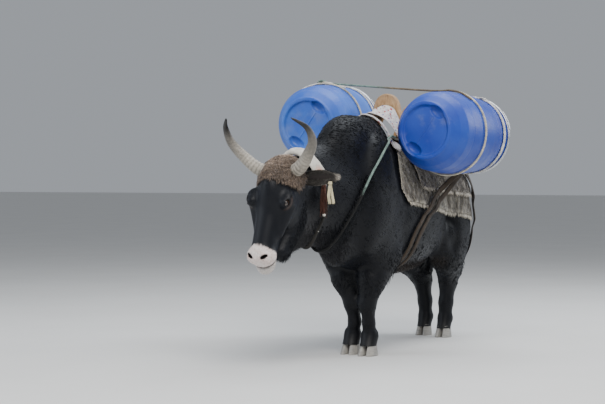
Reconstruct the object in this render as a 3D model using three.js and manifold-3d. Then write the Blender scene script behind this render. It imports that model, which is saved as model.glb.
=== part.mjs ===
// A life-size still model of a short-coated pack yak in its working gear: rugs, a wooden pack saddle,
// girths, breast rope, breeching, a neck collar with tassels, and a pair of plastic drums lashed on its flanks.
// Frame while building: +Z up, the yak faces -Y, +X is the yak's left, millimetres, hooves on Z = 0.
import * as THREE from "three";
import { mergeVertices } from "three/addons/utils/BufferGeometryUtils.js";
import Module from "manifold-3d";

const wasm = await Module();
wasm.setup();

// Driving dimensions
const HUMP_TOP = 1200;
const CUT_GAP = 0.3;
const KNEE_CUT = 268;
const HOCK_CUT = 318;
const CORONET = 52;
const HEAD_PITCH = 68.5;
const HEAD_TURN = -2;
const HEAD_ROLL = 2.9;
const POLL = [-62, -930, 978];
const DRUM_LENGTH = 590;
const DRUM_RADIUS = 205;
const FOOT_SPREAD_FRONT = 57;
const FOOT_SPREAD_REAR = 70;

const rad = THREE.MathUtils.degToRad;
const vec = (x, y, z) => new THREE.Vector3(x, y, z);
const mix = (a, b, t) => a + (b - a) * t;

// A soft step from 0 at a to 1 at b, where b may be less than a.
function smooth(a, b, x) {
  const t = Math.min(1, Math.max(0, (x - a) / (b - a)));
  return t * t * (3 - 2 * t);
}

// A seeded draw between 0 and 1, so that every build is the same.
function seeded(seed) {
  let state = seed;
  return () => {
    state = (state * 1664525 + 1013904223) % 4294967296;
    return state / 4294967296;
  };
}

// Closed meshes and solids

// An indexed geometry from points and triangles, turned round if its faces point inwards.
function closedGeometry(points, triangles) {
  const position = new Float32Array(points.flatMap((p) => [p.x, p.y, p.z]));
  let volume = 0;
  for (let i = 0; i < triangles.length; i += 3) {
    const [a, b, c] = [0, 1, 2].map((k) => points[triangles[i + k]]);
    volume += a.dot(b.clone().cross(c));
  }
  const index = volume < 0 ? triangles.slice().reverse() : triangles;
  const geometry = new THREE.BufferGeometry();
  geometry.setAttribute("position", new THREE.BufferAttribute(position, 3));
  geometry.setIndex(index);
  return geometry;
}

function solidOf(geometry) {
  const bare = geometry.clone();
  bare.deleteAttribute("normal");
  bare.deleteAttribute("uv");
  const merged = mergeVertices(bare, 1e-3);
  return new wasm.Manifold(
    new wasm.Mesh({
      numProp: 3,
      vertProperties: merged.attributes.position.array,
      triVerts: new Uint32Array(merged.index.array),
    }),
  );
}

// The largest closed surface of a solid, as three.js geometry.
function geometryOf(solid) {
  const largest = solid.decompose().sort((a, b) => b.volume() - a.volume())[0];
  const mesh = largest.getMesh();
  const geometry = new THREE.BufferGeometry();
  geometry.setAttribute("position", new THREE.BufferAttribute(mesh.vertProperties, 3));
  geometry.setIndex(new THREE.BufferAttribute(mesh.triVerts, 1));
  geometry.computeVertexNormals();
  return geometry;
}

// The same solid on the other side of the yak's middle plane.
function mirroredSolid(solid) {
  const geometry = geometryOf(solid).scale(-1, 1, 1);
  geometry.index.array.reverse();
  return solidOf(geometry);
}

const union = (solids) => solids.reduce((whole, piece) => whole.add(piece));

// Rings of points, joined into one closed tube with a point or a fan at each end.
function tubeSolid(rings, startPoint, endPoint) {
  const points = rings.flat();
  const around = rings[0].length;
  const triangles = [];
  for (let i = 0; i + 1 < rings.length; i++) {
    for (let j = 0; j < around; j++) {
      const a = i * around + j;
      const b = i * around + ((j + 1) % around);
      triangles.push(a, b, b + around, a, b + around, a + around);
    }
  }
  const centreOf = (ring) =>
    ring.reduce((sum, p) => sum.add(p), vec(0, 0, 0)).multiplyScalar(1 / ring.length);
  points.push(startPoint ?? centreOf(rings[0]), endPoint ?? centreOf(rings.at(-1)));
  const last = (rings.length - 1) * around;
  for (let j = 0; j < around; j++) {
    const next = (j + 1) % around;
    triangles.push(points.length - 2, next, j);
    triangles.push(points.length - 1, last + j, last + next);
  }
  return solidOf(closedGeometry(points, triangles));
}

// A ring of points joined round into a closed loop with a section of any sides, as a strap or rope that meets itself.
function loopSolid(rings) {
  const points = rings.flat();
  const around = rings[0].length;
  const triangles = [];
  rings.forEach((_, i) => {
    const next = ((i + 1) % rings.length) * around;
    for (let j = 0; j < around; j++) {
      const a = i * around + j;
      const b = i * around + ((j + 1) % around);
      const c = next + ((j + 1) % around);
      triangles.push(a, b, c, a, c, next + j);
    }
  });
  return solidOf(closedGeometry(points, triangles));
}

// Everything on the far side of a plane, as a box far larger than the yak.
function beyond(point, normal) {
  const size = 6000;
  const box = new THREE.BoxGeometry(size, size, size);
  box.translate(0, 0, size / 2);
  const turn = new THREE.Quaternion().setFromUnitVectors(vec(0, 0, 1), normal.clone().normalize());
  box.applyQuaternion(turn);
  box.translate(point.x, point.y, point.z);
  return solidOf(box);
}

// Forms: soft distance to an ellipsoid or a tapered limb, blended into one body

function blob({ at, half, tilt = 0 }) {
  const c = Math.cos(rad(tilt));
  const s = Math.sin(rad(tilt));
  return (x, y, z) => {
    const dx = x - at[0];
    const dy = c * (y - at[1]) + s * (z - at[2]);
    const dz = -s * (y - at[1]) + c * (z - at[2]);
    const near = Math.hypot(dx / half[0], dy / half[1], dz / half[2]);
    const far = Math.hypot(dx / half[0] ** 2, dy / half[1] ** 2, dz / half[2] ** 2);
    return far < 1e-9 ? -Math.min(...half) : (near * (near - 1)) / far;
  };
}

function limb({ from, to, radii, flat = 1 }) {
  const along = [(to[0] - from[0]) / flat, to[1] - from[1], to[2] - from[2]];
  const length2 = along[0] ** 2 + along[1] ** 2 + along[2] ** 2;
  return (x, y, z) => {
    const p = [(x - from[0]) / flat, y - from[1], z - from[2]];
    const dot = p[0] * along[0] + p[1] * along[1] + p[2] * along[2];
    const t = Math.min(1, Math.max(0, dot / length2));
    const gap = Math.hypot(p[0] - along[0] * t, p[1] - along[1] * t, p[2] - along[2] * t);
    return gap - mix(radii[0], radii[1], t);
  };
}

const paired = (form) => (x, y, z) => form(Math.abs(x), y, z);

function blended(forms, softness) {
  return (x, y, z) =>
    forms.reduce((near, form) => {
      const d = form(x, y, z);
      const h = Math.max(softness - Math.abs(near - d), 0) / softness;
      return Math.min(near, d) - (h * h * softness) / 4;
    }, 1e6);
}

// How far along a ray the outermost surface of a form lies.
function reachOf(form, origin, direction, longest) {
  const at = (d) =>
    form(origin.x + direction.x * d, origin.y + direction.y * d, origin.z + direction.z * d);
  const step = 6;
  let outside = longest;
  while (outside > step && at(outside - step) > 0) outside -= step;
  let [low, high] = [Math.max(outside - step, 0), outside];
  for (let i = 0; i < 14; i++) {
    const middle = (low + high) / 2;
    if (at(middle) > 0) high = middle;
    else low = middle;
  }
  return low;
}

// A frame for one ring: where it stands, its right and up, and how far its rays lean along right x up.
const ring = (at, right, up, lean = 0) => ({ at, right, up, lean });

function rayDirection({ right, up, lean }, angle) {
  const axis = right.clone().cross(up);
  return right
    .clone()
    .multiplyScalar(Math.cos(angle) * Math.cos(rad(lean)))
    .addScaledVector(up, Math.sin(angle) * Math.cos(rad(lean)))
    .addScaledVector(axis, Math.sin(rad(lean)));
}

// A closed skin over a form: rays leave each ring's middle and stop on the outermost surface, plus growth.
function skinOver(form, rings, around, longest, growth = 0) {
  const hit = (station, angle) => {
    const direction = rayDirection(station, angle);
    const reach = reachOf(form, station.at, direction, longest) + growth;
    return station.at.clone().addScaledVector(direction, reach);
  };
  const loops = rings.map((station) =>
    Array.from({ length: around }, (_, j) => hit(station, (2 * Math.PI * j) / around)),
  );
  const pole = (station) => (Math.abs(station.lean) > 60 ? hit({ ...station, lean: Math.sign(station.lean) * 90 }, 0) : null);
  return tubeSolid(loops, pole(rings[0]) ?? undefined, pole(rings.at(-1)) ?? undefined);
}

const X = vec(1, 0, 0);
const Z = vec(0, 0, 1);

// The trunk and neck as soft forms: halves are half-sizes in X, Y and Z

// The neck bends a little to the yak's right, towards where it looks.
const neckShift = (y) => POLL[0] * smooth(-430, -900, y);
const TRUNK = blended(
  [
    blob({ at: [0, 180, 715], half: [228, 560, 300] }),
    blob({ at: [0, -230, 735], half: [190, 300, 305] }),
    blob({ at: [0, -350, 1000], half: [118, 236, HUMP_TOP - 1010] }),
    blob({ at: [0, -165, 985], half: [116, 250, HUMP_TOP - 995] }),
    blob({ at: [0, 150, 900], half: [120, 420, 165], tilt: 3 }),
    paired(blob({ at: [125, -300, 800], half: [88, 150, 290], tilt: -14 })),
    paired(blob({ at: [124, -205, 560], half: [72, 120, 150] })),
    blob({ at: [0, 640, 800], half: [200, 250, 235] }),
    paired(blob({ at: [118, 680, 635], half: [116, 208, 285], tilt: 12 })),
    paired(blob({ at: [150, 470, 960], half: [52, 90, 60] })),
    paired(blob({ at: [62, 835, 900], half: [52, 62, 70] })),
    blob({ at: [0, 180, 560], half: [195, 430, 150] }),
    blob({ at: [0, -450, 610], half: [92, 112, 155] }),
    (x, y, z) =>
      blended(
        [
          limb({ from: [0, -420, 800], to: [0, -935, 822], radii: [235, 120], flat: 0.62 }),
          limb({ from: [0, -430, 690], to: [0, -850, 755], radii: [195, 100], flat: 0.5 }),
          limb({ from: [0, -330, 1030], to: [0, -900, 860], radii: [110, 66], flat: 0.8 }),
          limb({ from: [0, -885, 604], to: [0, -770, 642], radii: [68, 74], flat: 0.55 }),
        ],
        60,
      )(x - neckShift(y), y, z),
  ],
  55,
);

// Rings from behind the rump forward through the trunk and up the neck to inside the head.
const AROUND_TRUNK = 26;
function trunkRings() {
  const made = [];
  const rumpFan = [-82, -66, -50, -36, -22, -10];
  rumpFan.forEach((lean) => made.push(ring(vec(0, 660, 790), X, Z, lean)));
  const straight = 16;
  for (let i = 0; i <= straight; i++) {
    made.push(ring(vec(0, mix(650, -400, i / straight), mix(770, 750, i / straight)), X, Z));
  }
  const neckRings = 8;
  for (let i = 1; i <= neckRings; i++) {
    const t = i / neckRings;
    const y = mix(-400, -950, t);
    const up = vec(0, -Math.sin(rad(12 * t)), Math.cos(rad(12 * t)));
    made.push(ring(vec(neckShift(y), y, mix(760, 850, t)), X, up));
  }
  return made;
}

const trunk = skinOver(TRUNK, trunkRings(), AROUND_TRUNK, 620);
const trunkClear = skinOver(TRUNK, trunkRings(), AROUND_TRUNK, 620, CUT_GAP);

// Two thin cuts part the trunk: in front of the shoulder, and behind the horns and jaw
const shoulderCut = { at: vec(0, -545, 800), normal: vec(0, -1, 0.22).normalize() };
const headCut = { at: vec(-54, -868, 800), normal: vec(-0.1, -1, 0.1).normalize() };
const pastCut = (cut, gap) => beyond(cut.at.clone().addScaledVector(cut.normal, gap), cut.normal);
const torsoSolid = trunk.subtract(pastCut(shoulderCut, 0));
const neckSolid = trunk
  .intersect(pastCut(shoulderCut, CUT_GAP))
  .subtract(pastCut(headCut, 0));

// The head, in its own frame: +X its left, +Y out of the forehead, +Z from the poll down to the nose
const HEAD = blended(
  [
    blob({ at: [0, -78, 80], half: [106, 80, 98] }),
    blob({ at: [0, -52, 182], half: [106, 72, 122] }),
    limb({ from: [0, -52, 180], to: [0, -62, 430], radii: [70, 55], flat: 0.98 }),
    limb({ from: [0, -20, 225], to: [0, -36, 440], radii: [42, 34], flat: 1.15 }),
    paired(blob({ at: [88, -6, 200], half: [32, 28, 44] })),
    paired(limb({ from: [90, -44, 228], to: [58, -64, 345], radii: [26, 15] })),
    paired(blob({ at: [58, -124, 205], half: [40, 82, 100] })),
    paired(limb({ from: [50, -188, 240], to: [36, -150, 404], radii: [46, 40] })),
    blob({ at: [0, -60, 456], half: [64, 53, 50] }),
    blob({ at: [0, -106, 484], half: [46, 33, 46] }),
    paired(blob({ at: [33, -36, 470], half: [26, 25, 26] })),
    blob({ at: [0, -148, 128], half: [76, 82, 108] }),
  ],
  26,
);

const headFrame = new THREE.Matrix4();
{
  const pitch = rad(HEAD_PITCH);
  const down = vec(0, -Math.cos(pitch), -Math.sin(pitch));
  const out = vec(0, -Math.sin(pitch), Math.cos(pitch));
  const basis = new THREE.Matrix4().makeBasis(X, out, down);
  headFrame
    .makeTranslation(...POLL)
    .multiply(new THREE.Matrix4().makeRotationZ(rad(HEAD_TURN)))
    .multiply(new THREE.Matrix4().makeRotationY(rad(HEAD_ROLL)))
    .multiply(basis);
}
const inHead = (x, y, z) => vec(x, y, z).applyMatrix4(headFrame);
const placedInHead = (solid) => solidOf(geometryOf(solid).applyMatrix4(headFrame));

const AROUND_HEAD = 22;
function headRings() {
  const axis = [X, vec(0, 1, 0)];
  const middle = (z) => vec(0, -80, z);
  const crown = [-80, -55, -28].map((lean) => ring(middle(90), ...axis, lean));
  const straight = Array.from({ length: 12 }, (_, i) => ring(middle(mix(88, 440, i / 11)), ...axis));
  const nose = [16, 34, 50, 66, 82].map((lean) => ring(middle(445), ...axis, lean));
  return [...crown, ...straight, ...nose];
}
const headWhole = skinOver(HEAD, headRings(), AROUND_HEAD, 300);
const headInner = skinOver(HEAD, headRings(), AROUND_HEAD, 300, -9);

// Eyes, with lids left round an almond opening
const EYE = { at: vec(87, 2, 220), radius: 20 };
const LID = { radius: 25.5, opening: [15, 8.5] };
const sideways = (mirror, p) => vec(mirror * p.x, p.y, p.z);

function ball(centre, radius, across = 10, high = 6) {
  const sphere = new THREE.SphereGeometry(radius, across, high);
  return solidOf(sphere.translate(centre.x, centre.y, centre.z));
}

// An almond prism that looks out of the eye, sideways and a little forward.
function almondSolid(mirror) {
  const [long, high] = LID.opening;
  const corners = 8;
  const outline = Array.from({ length: corners }, (_, i) => {
    const angle = (2 * Math.PI * i) / corners;
    const pinch = 1 - 0.35 * Math.abs(Math.cos(angle)) ** 3;
    return new THREE.Vector2(long * Math.cos(angle), high * Math.sin(angle) * pinch);
  });
  const prism = new THREE.ExtrudeGeometry(new THREE.Shape(outline), {
    depth: 60,
    bevelEnabled: false,
  });
  const look = vec(mirror * 0.86, 0.5, 0.08).normalize();
  const longAxis = vec(0, 0.12, 1).projectOnPlane(look).normalize();
  const frame = new THREE.Matrix4().makeBasis(longAxis, look.clone().cross(longAxis), look);
  const centre = sideways(mirror, EYE.at);
  return solidOf(prism.applyMatrix4(frame.setPosition(centre)));
}

// A comma-shaped nostril, and the line of the closed mouth
function nostrilSolid(mirror) {
  const hole = new THREE.SphereGeometry(1, 8, 6);
  hole.scale(9, 15, 20);
  hole.rotateY(rad(mirror * -52));
  hole.rotateZ(rad(mirror * -35));
  hole.translate(mirror * 35, -20, 472);
  return solidOf(hole);
}

function mouthSolid() {
  const slit = new THREE.BoxGeometry(200, 4, 200);
  slit.rotateX(rad(-16));
  slit.translate(0, -84.3, 478);
  return solidOf(slit).subtract(headInner).intersect(headWhole);
}

// Flat, tapered locks that bend along their lie, each a closed form of few sides
function lockSolid({ root, start, end, length, width, thick, side }) {
  const steps = 3;
  const spine = [root.clone()];
  const headings = [];
  for (let i = 0; i < steps; i++) {
    const heading = start.clone().lerp(end, (i + 0.5) / steps).normalize();
    headings.push(heading);
    spine.push(spine[i].clone().addScaledVector(heading, length / steps));
  }
  const loops = spine.slice(0, -1).map((at, i) => {
    const heading = headings[i];
    const across = side.clone().projectOnPlane(heading).normalize();
    const normal = heading.clone().cross(across);
    const taper = 1 - (i / steps) ** 1.6 * 0.75;
    return [
      [1, 0],
      [0, 1],
      [-1, 0],
      [0, -1],
    ].map(([u, v]) =>
      at
        .clone()
        .addScaledVector(across, (u * width * taper) / 2)
        .addScaledVector(normal, (v * thick * taper) / 2),
    );
  });
  return tubeSolid(loops, undefined, spine.at(-1));
}

// The woolly tuft on the poll, between and in front of the horns
function pollTuft(extra = 0) {
  const draw = seeded(11);
  const locks = [];
  const rows = 3;
  for (let row = 0; row < rows; row++) {
    const perRow = 4 - (row % 2);
    for (let i = 0; i < perRow; i++) {
      const across = ((i + 0.5) / perRow - 0.5) * 2;
      const down = mix(-6, 112, row / (rows - 1)) + 10 * (draw() - 0.5);
      const station = ring(vec(0, -80, Math.max(down, 24)), X, vec(0, 1, 0), down < 24 ? -30 : 0);
      const angle = Math.PI / 2 - across * 0.78;
      const direction = rayDirection(station, angle);
      const reach = reachOf(HEAD, station.at, direction, 300) - 9;
      const fan = vec(across * 0.55 + 0.3 * (draw() - 0.5), 0.25, 0.8);
      locks.push(
        lockSolid({
          root: station.at.clone().addScaledVector(direction, reach),
          start: direction.clone().multiplyScalar(1.1).add(fan).normalize(),
          end: fan.clone().add(vec(0.25 * (draw() - 0.5), -0.3, 0.35)).normalize(),
          length: 58 + 18 * draw(),
          width: 42 + 6 * draw() + extra,
          thick: 10 + extra,
          side: vec(1, 0, 0),
        }),
      );
    }
  }
  return union(locks);
}

const eyeCuts = [1, -1].map((mirror) => {
  const centre = sideways(mirror, EYE.at);
  return ball(centre, EYE.radius + CUT_GAP).add(almondSolid(mirror));
});
const lidBalls = [1, -1].map((mirror) => ball(sideways(mirror, EYE.at), LID.radius));
const headLocal = union([headWhole, ...lidBalls])
  .subtract(union(eyeCuts))
  .subtract(nostrilSolid(1))
  .subtract(nostrilSolid(-1))
  .subtract(mouthSolid())
  .add(pollTuft());
const headSolid = placedInHead(headLocal).intersect(pastCut(headCut, CUT_GAP));
const headClear = placedInHead(
  skinOver(HEAD, headRings(), AROUND_HEAD, 300, CUT_GAP).add(pollTuft(2 * CUT_GAP)),
);

// Horns: out from the poll, forward, up, and in again at the tips
const HORN_RADII = [34, 32.5, 29.5, 26.5, 23.5, 19.5, 14.5, 9, 4];
const HORN_LINES = [
  [[56, -44, 60], [116, -8, 38], [168, 40, -4], [214, 108, -44], [210, 174, -80], [158, 246, -97]],
  [[-42, -48, 66], [-112, -22, 52], [-178, 14, 12], [-232, 66, -36], [-236, 132, -78], [-197, 208, -97]],
];
function hornSolid(points) {
  const line = new THREE.CatmullRomCurve3(points.map(([x, y, z]) => vec(x, y, z)));
  const steps = HORN_RADII.length - 1;
  const sides = 8;
  const loops = HORN_RADII.map((radius, i) => {
    const at = line.getPointAt(i / steps);
    const heading = line.getTangentAt(i / steps);
    const first = vec(0, 1, 0).projectOnPlane(heading).normalize();
    const second = heading.clone().cross(first);
    return Array.from({ length: sides }, (_, j) => {
      const angle = (2 * Math.PI * j) / sides;
      return at
        .clone()
        .addScaledVector(first, radius * Math.cos(angle))
        .addScaledVector(second, radius * Math.sin(angle));
    });
  });
  const tip = line.getPointAt(1).addScaledVector(line.getTangentAt(1), 6);
  return placedInHead(tubeSolid(loops, undefined, tip)).subtract(headClear);
}

// Ears: a cupped leaf, open forward and down, on a short stalk
const EAR = { length: 186, width: 80, thick: 8 };
const EAR_HEADING = { left: [0.95, -0.19, -0.26], right: [-0.5, -0.82, -0.28] };
function earSolid(side) {
  const mirror = side === "left" ? 1 : -1;
  const along = 7;
  const across = 6;
  const root = vec(mirror * 86, -84, 68);
  const heading = vec(...EAR_HEADING[side]).normalize();
  const opening = vec(mirror * 0.2, 0.72, 0.66).projectOnPlane(heading).normalize();
  const wide = heading.clone().cross(opening);
  const surface = (inside) =>
    Array.from({ length: along + 1 }, (_, i) => {
      const t = i / along;
      const half = (EAR.width / 2) * Math.max(Math.sin(Math.PI * (0.16 + 0.8 * t)) ** 0.8, 0.2);
      const roll = mix(1.25, 0.55, t);
      const droop = 18 * t * t;
      return Array.from({ length: across + 1 }, (_, j) => {
        const s = (2 * j) / across - 1;
        const bend = s * roll * 1.25;
        const radius = half / Math.sin(Math.min(roll * 1.25, 1.5));
        const rim = EAR.thick * (1 - 0.45 * Math.abs(s)) * (1 - 0.3 * t);
        const shell = radius - (inside ? rim : 0);
        return root
          .clone()
          .addScaledVector(heading, EAR.length * t - 6 * s * s * t)
          .addScaledVector(wide, shell * Math.sin(bend))
          .addScaledVector(opening, radius * 0.55 - shell * Math.cos(bend))
          .addScaledVector(vec(0, -0.35, 0.94), droop);
      });
    });
  const outer = surface(false);
  const inner = surface(true).map((row) => row.reverse());
  const loops = outer.map((row, i) => [...row, ...inner[i]]);
  return placedInHead(tubeSolid(loops)).subtract(headClear).subtract(trunkClear);
}

const ears = [earSolid("left"), earSolid("right")];
const horns = HORN_LINES.map(hornSolid);

// Legs: soft forms round a jointed line; each leg is skinned by level rings
const THIGH_LINE = { from: [114, 795, 620], to: [88, 822, 385], radii: [98, 86], flat: 0.78 };
// The right forefoot stands a little behind the left
const FORE_STEP = 26;
function foreleg(mirror) {
  const near = mirror > 0;
  const foot = near ? FOOT_SPREAD_FRONT : FOOT_SPREAD_FRONT - 7;
  const back = near ? 0 : FORE_STEP;
  const knee = near ? 62 : 32;
  const joints = {
    elbow: [118, -155, 500],
    forearm: [near ? 84 : 66, -222 + back / 2, 385],
    knee: [knee, -230 + back, 262],
    cannon: [near ? 58 : 31, -207 + back, 160],
    fetlock: [foot, -192 + back, 98],
    pastern: [foot, -205 + back, 66],
    coronet: [foot, -216 + back, CORONET - 12],
  };
  const form = blended(
    [
      limb({ from: joints.elbow, to: joints.forearm, radii: [92, 76], flat: 0.92 }),
      limb({ from: joints.forearm, to: joints.knee, radii: [76, 42], flat: 0.96 }),
      blob({ at: [knee, -236 + back, 262], half: [38, 42, 52] }),
      limb({ from: joints.knee, to: joints.cannon, radii: [42, 31], flat: 0.95 }),
      limb({ from: joints.cannon, to: joints.fetlock, radii: [30, 33] }),
      blob({ at: [foot, -186 + back, 98], half: [38, 38, 34] }),
      limb({ from: joints.fetlock, to: joints.pastern, radii: [34, 34], flat: 1.08 }),
      limb({ from: joints.pastern, to: joints.coronet, radii: [35, 42], flat: 1 }),
    ],
    22,
  );
  return legSolid(Object.values(joints), form, 560, 11, mirror);
}

function hindLeg(mirror) {
  const foot = FOOT_SPREAD_REAR;
  const lag = mirror > 0 ? 0 : 58;
  const joints = {
    stifle: [128, 610, 590],
    gaskin: [112, 715, 450],
    hock: [mirror > 0 ? 80 : 84, 808 + lag / 2, 305],
    shank: [74, 792 + lag, 190],
    fetlock: [foot, 790 + lag, 102],
    pastern: [foot, 775 + lag, 66],
    coronet: [foot, 766 + lag, CORONET - 12],
  };
  const form = blended(
    [
      limb({ from: joints.stifle, to: joints.gaskin, radii: [104, 98], flat: 0.78 }),
      limb(THIGH_LINE),
      limb({ from: joints.gaskin, to: joints.hock, radii: [94, 58], flat: 0.84 }),
      blob({ at: [joints.hock[0], 836 + lag / 2, 316], half: [38, 52, 56] }),
      limb({ from: joints.hock, to: joints.shank, radii: [54, 41], flat: 0.88 }),
      limb({ from: joints.shank, to: joints.fetlock, radii: [40, 35] }),
      blob({ at: [foot, 796 + lag, 102], half: [37, 38, 34] }),
      limb({ from: joints.fetlock, to: joints.pastern, radii: [33, 33], flat: 1.05 }),
      limb({ from: joints.pastern, to: joints.coronet, radii: [31, 40], flat: 1 }),
    ],
    22,
  );
  return legSolid(Object.values(joints), form, 640, 12, mirror);
}

// The middle of a leg at a height, on its jointed line.
function middleAt(joints, z) {
  for (let i = 0; i + 1 < joints.length; i++) {
    const [a, b] = [joints[i], joints[i + 1]];
    if (z >= b[2]) {
      const t = Math.min((a[2] - z) / (a[2] - b[2]), 1);
      return vec(mix(a[0], b[0], t), mix(a[1], b[1], t), z);
    }
  }
  return vec(joints.at(-1)[0], joints.at(-1)[1], z);
}

function legSolid(joints, form, top, count, mirror) {
  const rings = Array.from({ length: count + 1 }, (_, i) => {
    const z = mix(top, CORONET, (i / count) ** 0.85);
    const at = middleAt(joints, z);
    return ring(at, X, vec(0, 1, 0));
  });
  const solid = skinOver(form, rings, 10, 260).subtract(beyond(vec(0, 0, CORONET), vec(0, 0, -1)));
  const dewclaws = [-1, 1].map((side) => {
    const fetlock = joints.at(-3);
    const claw = new THREE.SphereGeometry(1, 6, 4);
    claw.scale(9, 11, 17);
    return solidOf(claw.translate(fetlock[0] + side * 15, fetlock[1] + 38, fetlock[2] - 18));
  });
  const whole = union([solid, ...dewclaws]);
  return mirror > 0 ? whole : mirroredSolid(whole);
}

const legs = {
  fore_left: foreleg(1),
  fore_right: foreleg(-1),
  hind_left: hindLeg(1),
  hind_right: hindLeg(-1),
};

// Each leg is parted at the knee or hock, and its top meets the trunk
function legNodes(name, solid) {
  const cut = name.startsWith("fore") ? KNEE_CUT : HOCK_CUT;
  const upper = solid.subtract(beyond(vec(0, 0, cut + CUT_GAP), vec(0, 0, -1))).subtract(trunkClear);
  const lower = solid.subtract(beyond(vec(0, 0, cut), vec(0, 0, 1))).subtract(trunkClear);
  return { [`leg_${name}_upper`]: upper, [`leg_${name}_lower`]: lower };
}

// One claw of a cloven hoof: flat sole, rounded wall, toe sloping forward; inner face towards its fellow
const HOOF = { width: 45, front: 60, back: 46, cleft: 5 };
function clawSolid(centre, side, scale) {
  const levels = [0, 26, CORONET - CUT_GAP];
  const around = 12;
  const loops = levels.map((z) => {
    const rise = z / CORONET;
    return Array.from({ length: around }, (_, i) => {
      const angle = (2 * Math.PI * i) / around;
      const c = Math.cos(angle);
      const s = Math.sin(angle);
      const bulge = c < 0 ? -Math.sqrt(-c) : c;
      const across = HOOF.cleft / 2 + (HOOF.width / 2) * (1 + bulge);
      const toe = Math.max(-s, 0);
      const x = mix(across, HOOF.width * 0.42, 0.4 * toe ** 3) * mix(1, 0.84, rise);
      const long = s < 0 ? HOOF.front * mix(1, 0.6, rise) : HOOF.back * mix(1, 0.88, rise);
      return vec(centre.x + side * x * scale, centre.y + long * s * scale + 4 * rise, z);
    });
  });
  const flat = (loop, z) => loop.reduce((sum, p) => sum.add(p), vec(0, 0, 0)).multiplyScalar(1 / around).setZ(z);
  return tubeSolid(loops, flat(loops[0], 0), flat(loops.at(-1), CORONET - CUT_GAP));
}

// The tail: a dock that hangs just clear of the rump, and a bushy tassel of locks
function tailParts() {
  const line = new THREE.CatmullRomCurve3([
    vec(0, 800, 985),
    vec(0, 872, 968),
    vec(0, 925, 890),
    vec(0, 944, 780),
    vec(0, 950, 640),
    vec(0, 952, 500),
  ]);
  const radii = [44, 42, 36, 30, 27, 24, 20, 12];
  const sides = 9;
  const loops = radii.map((radius, i) => {
    const t = i / (radii.length - 1);
    const at = line.getPointAt(t);
    const heading = line.getTangentAt(t);
    const back = X.clone().cross(heading);
    return Array.from({ length: sides }, (_, j) => {
      const angle = (2 * Math.PI * j) / sides;
      return at.clone().addScaledVector(X, radius * Math.cos(angle)).addScaledVector(back, radius * Math.sin(angle));
    });
  });
  const whole = tubeSolid(loops).subtract(trunkClear);
  const level = vec(0, 0, 742);
  const dock = whole.subtract(beyond(level.clone().setZ(level.z), vec(0, 0, -1)));
  const core = whole.subtract(beyond(level.clone().setZ(level.z - CUT_GAP), vec(0, 0, 1)));
  const draw = seeded(5);
  const locks = [core];
  const tiers = 2;
  for (let tier = 0; tier < tiers; tier++) {
    const perTier = 4;
    for (let i = 0; i < perTier; i++) {
      const angle = (2 * Math.PI * (i + 0.5 * (tier % 2) + 0.2 * draw())) / perTier;
      const z = mix(700, 520, tier / (tiers - 1));
      const t = (985 - z) / (985 - 500);
      const outward = vec(Math.cos(angle), Math.sin(angle), 0);
      const at = vec(0, line.getPointAt(Math.min(t, 1)).y, z);
      locks.push(
        lockSolid({
          root: at.addScaledVector(outward, 12),
          start: outward.clone().multiplyScalar(mix(0.34, 0.2, tier / tiers)).add(vec(0, 0, -1)).normalize(),
          end: outward.clone().multiplyScalar(-0.08).add(vec(0.1 * (draw() - 0.5), 0, -1)).normalize(),
          length: 190 + 60 * draw(),
          width: 62 + 8 * draw(),
          thick: 22,
          side: outward.clone().cross(Z),
        }),
      );
    }
  }
  return { dock, tassel: union(locks) };
}

// Gear. Straps and cloths are laid on the body by moving their points along the body's own slope

function slopeOf(form, p) {
  const e = 2;
  return vec(
    form(p.x + e, p.y, p.z) - form(p.x - e, p.y, p.z),
    form(p.x, p.y + e, p.z) - form(p.x, p.y - e, p.z),
    form(p.x, p.y, p.z + e) - form(p.x, p.y, p.z - e),
  ).normalize();
}

function laidOn(form, point, lift) {
  const p = point.clone();
  for (let i = 0; i < 6; i++) {
    const depth = form(p.x, p.y, p.z) - lift;
    p.addScaledVector(slopeOf(form, p), -depth * 0.9);
  }
  return p;
}

// The rugs: how thick they lie at a point, so that the straps over them can lie on top
const RUG = {
  lift: 1,
  thick: 15,
  trims: [
    { at: vec(0, 26, 999), normal: vec(0, -1, 0.8) },
    { at: vec(0, -92, 815), normal: vec(0, -0.8, -0.6) },
    { at: vec(0, 790, 900), normal: vec(0, 1, 0.12) },
    { at: vec(0, 300, 722), normal: vec(0, -0.115, -1) },
  ],
};
const UPPER_RUG = {
  lift: RUG.lift + RUG.thick + 1,
  thick: 12,
  trims: [
    { at: vec(0, 90, 900), normal: vec(0, -1, 0.3) },
    { at: vec(0, 750, 900), normal: vec(0, 1, 0.1) },
    { at: vec(0, 400, 812), normal: vec(0, -0.07, -1) },
  ],
};

// How far a strap must rise over the rugs at a point: it ramps up over a margin before their edges.
function underGear(p, margin = 40) {
  const inside = ({ trims }) =>
    trims.reduce((share, { at, normal }) => {
      const past = p.clone().sub(at).dot(normal.clone().normalize());
      return share * smooth(margin, 4, past);
    }, 1);
  return inside(RUG) * (RUG.lift + RUG.thick) + inside(UPPER_RUG) * (UPPER_RUG.thick + 1);
}

// A rug as the shell between two skins of the trunk, trimmed by planes at its front, back and hems
function rugSolid({ lift, thick, trims }) {
  const outer = skinOver(TRUNK, trunkRings(), AROUND_TRUNK, 620, lift + thick);
  const inner = skinOver(TRUNK, trunkRings(), AROUND_TRUNK, 620, lift);
  const trimmed = (solid) => trims.reduce((left, trim) => left.subtract(beyond(trim.at, trim.normal)), solid);
  return trimmed(outer.subtract(inner));
}

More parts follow.
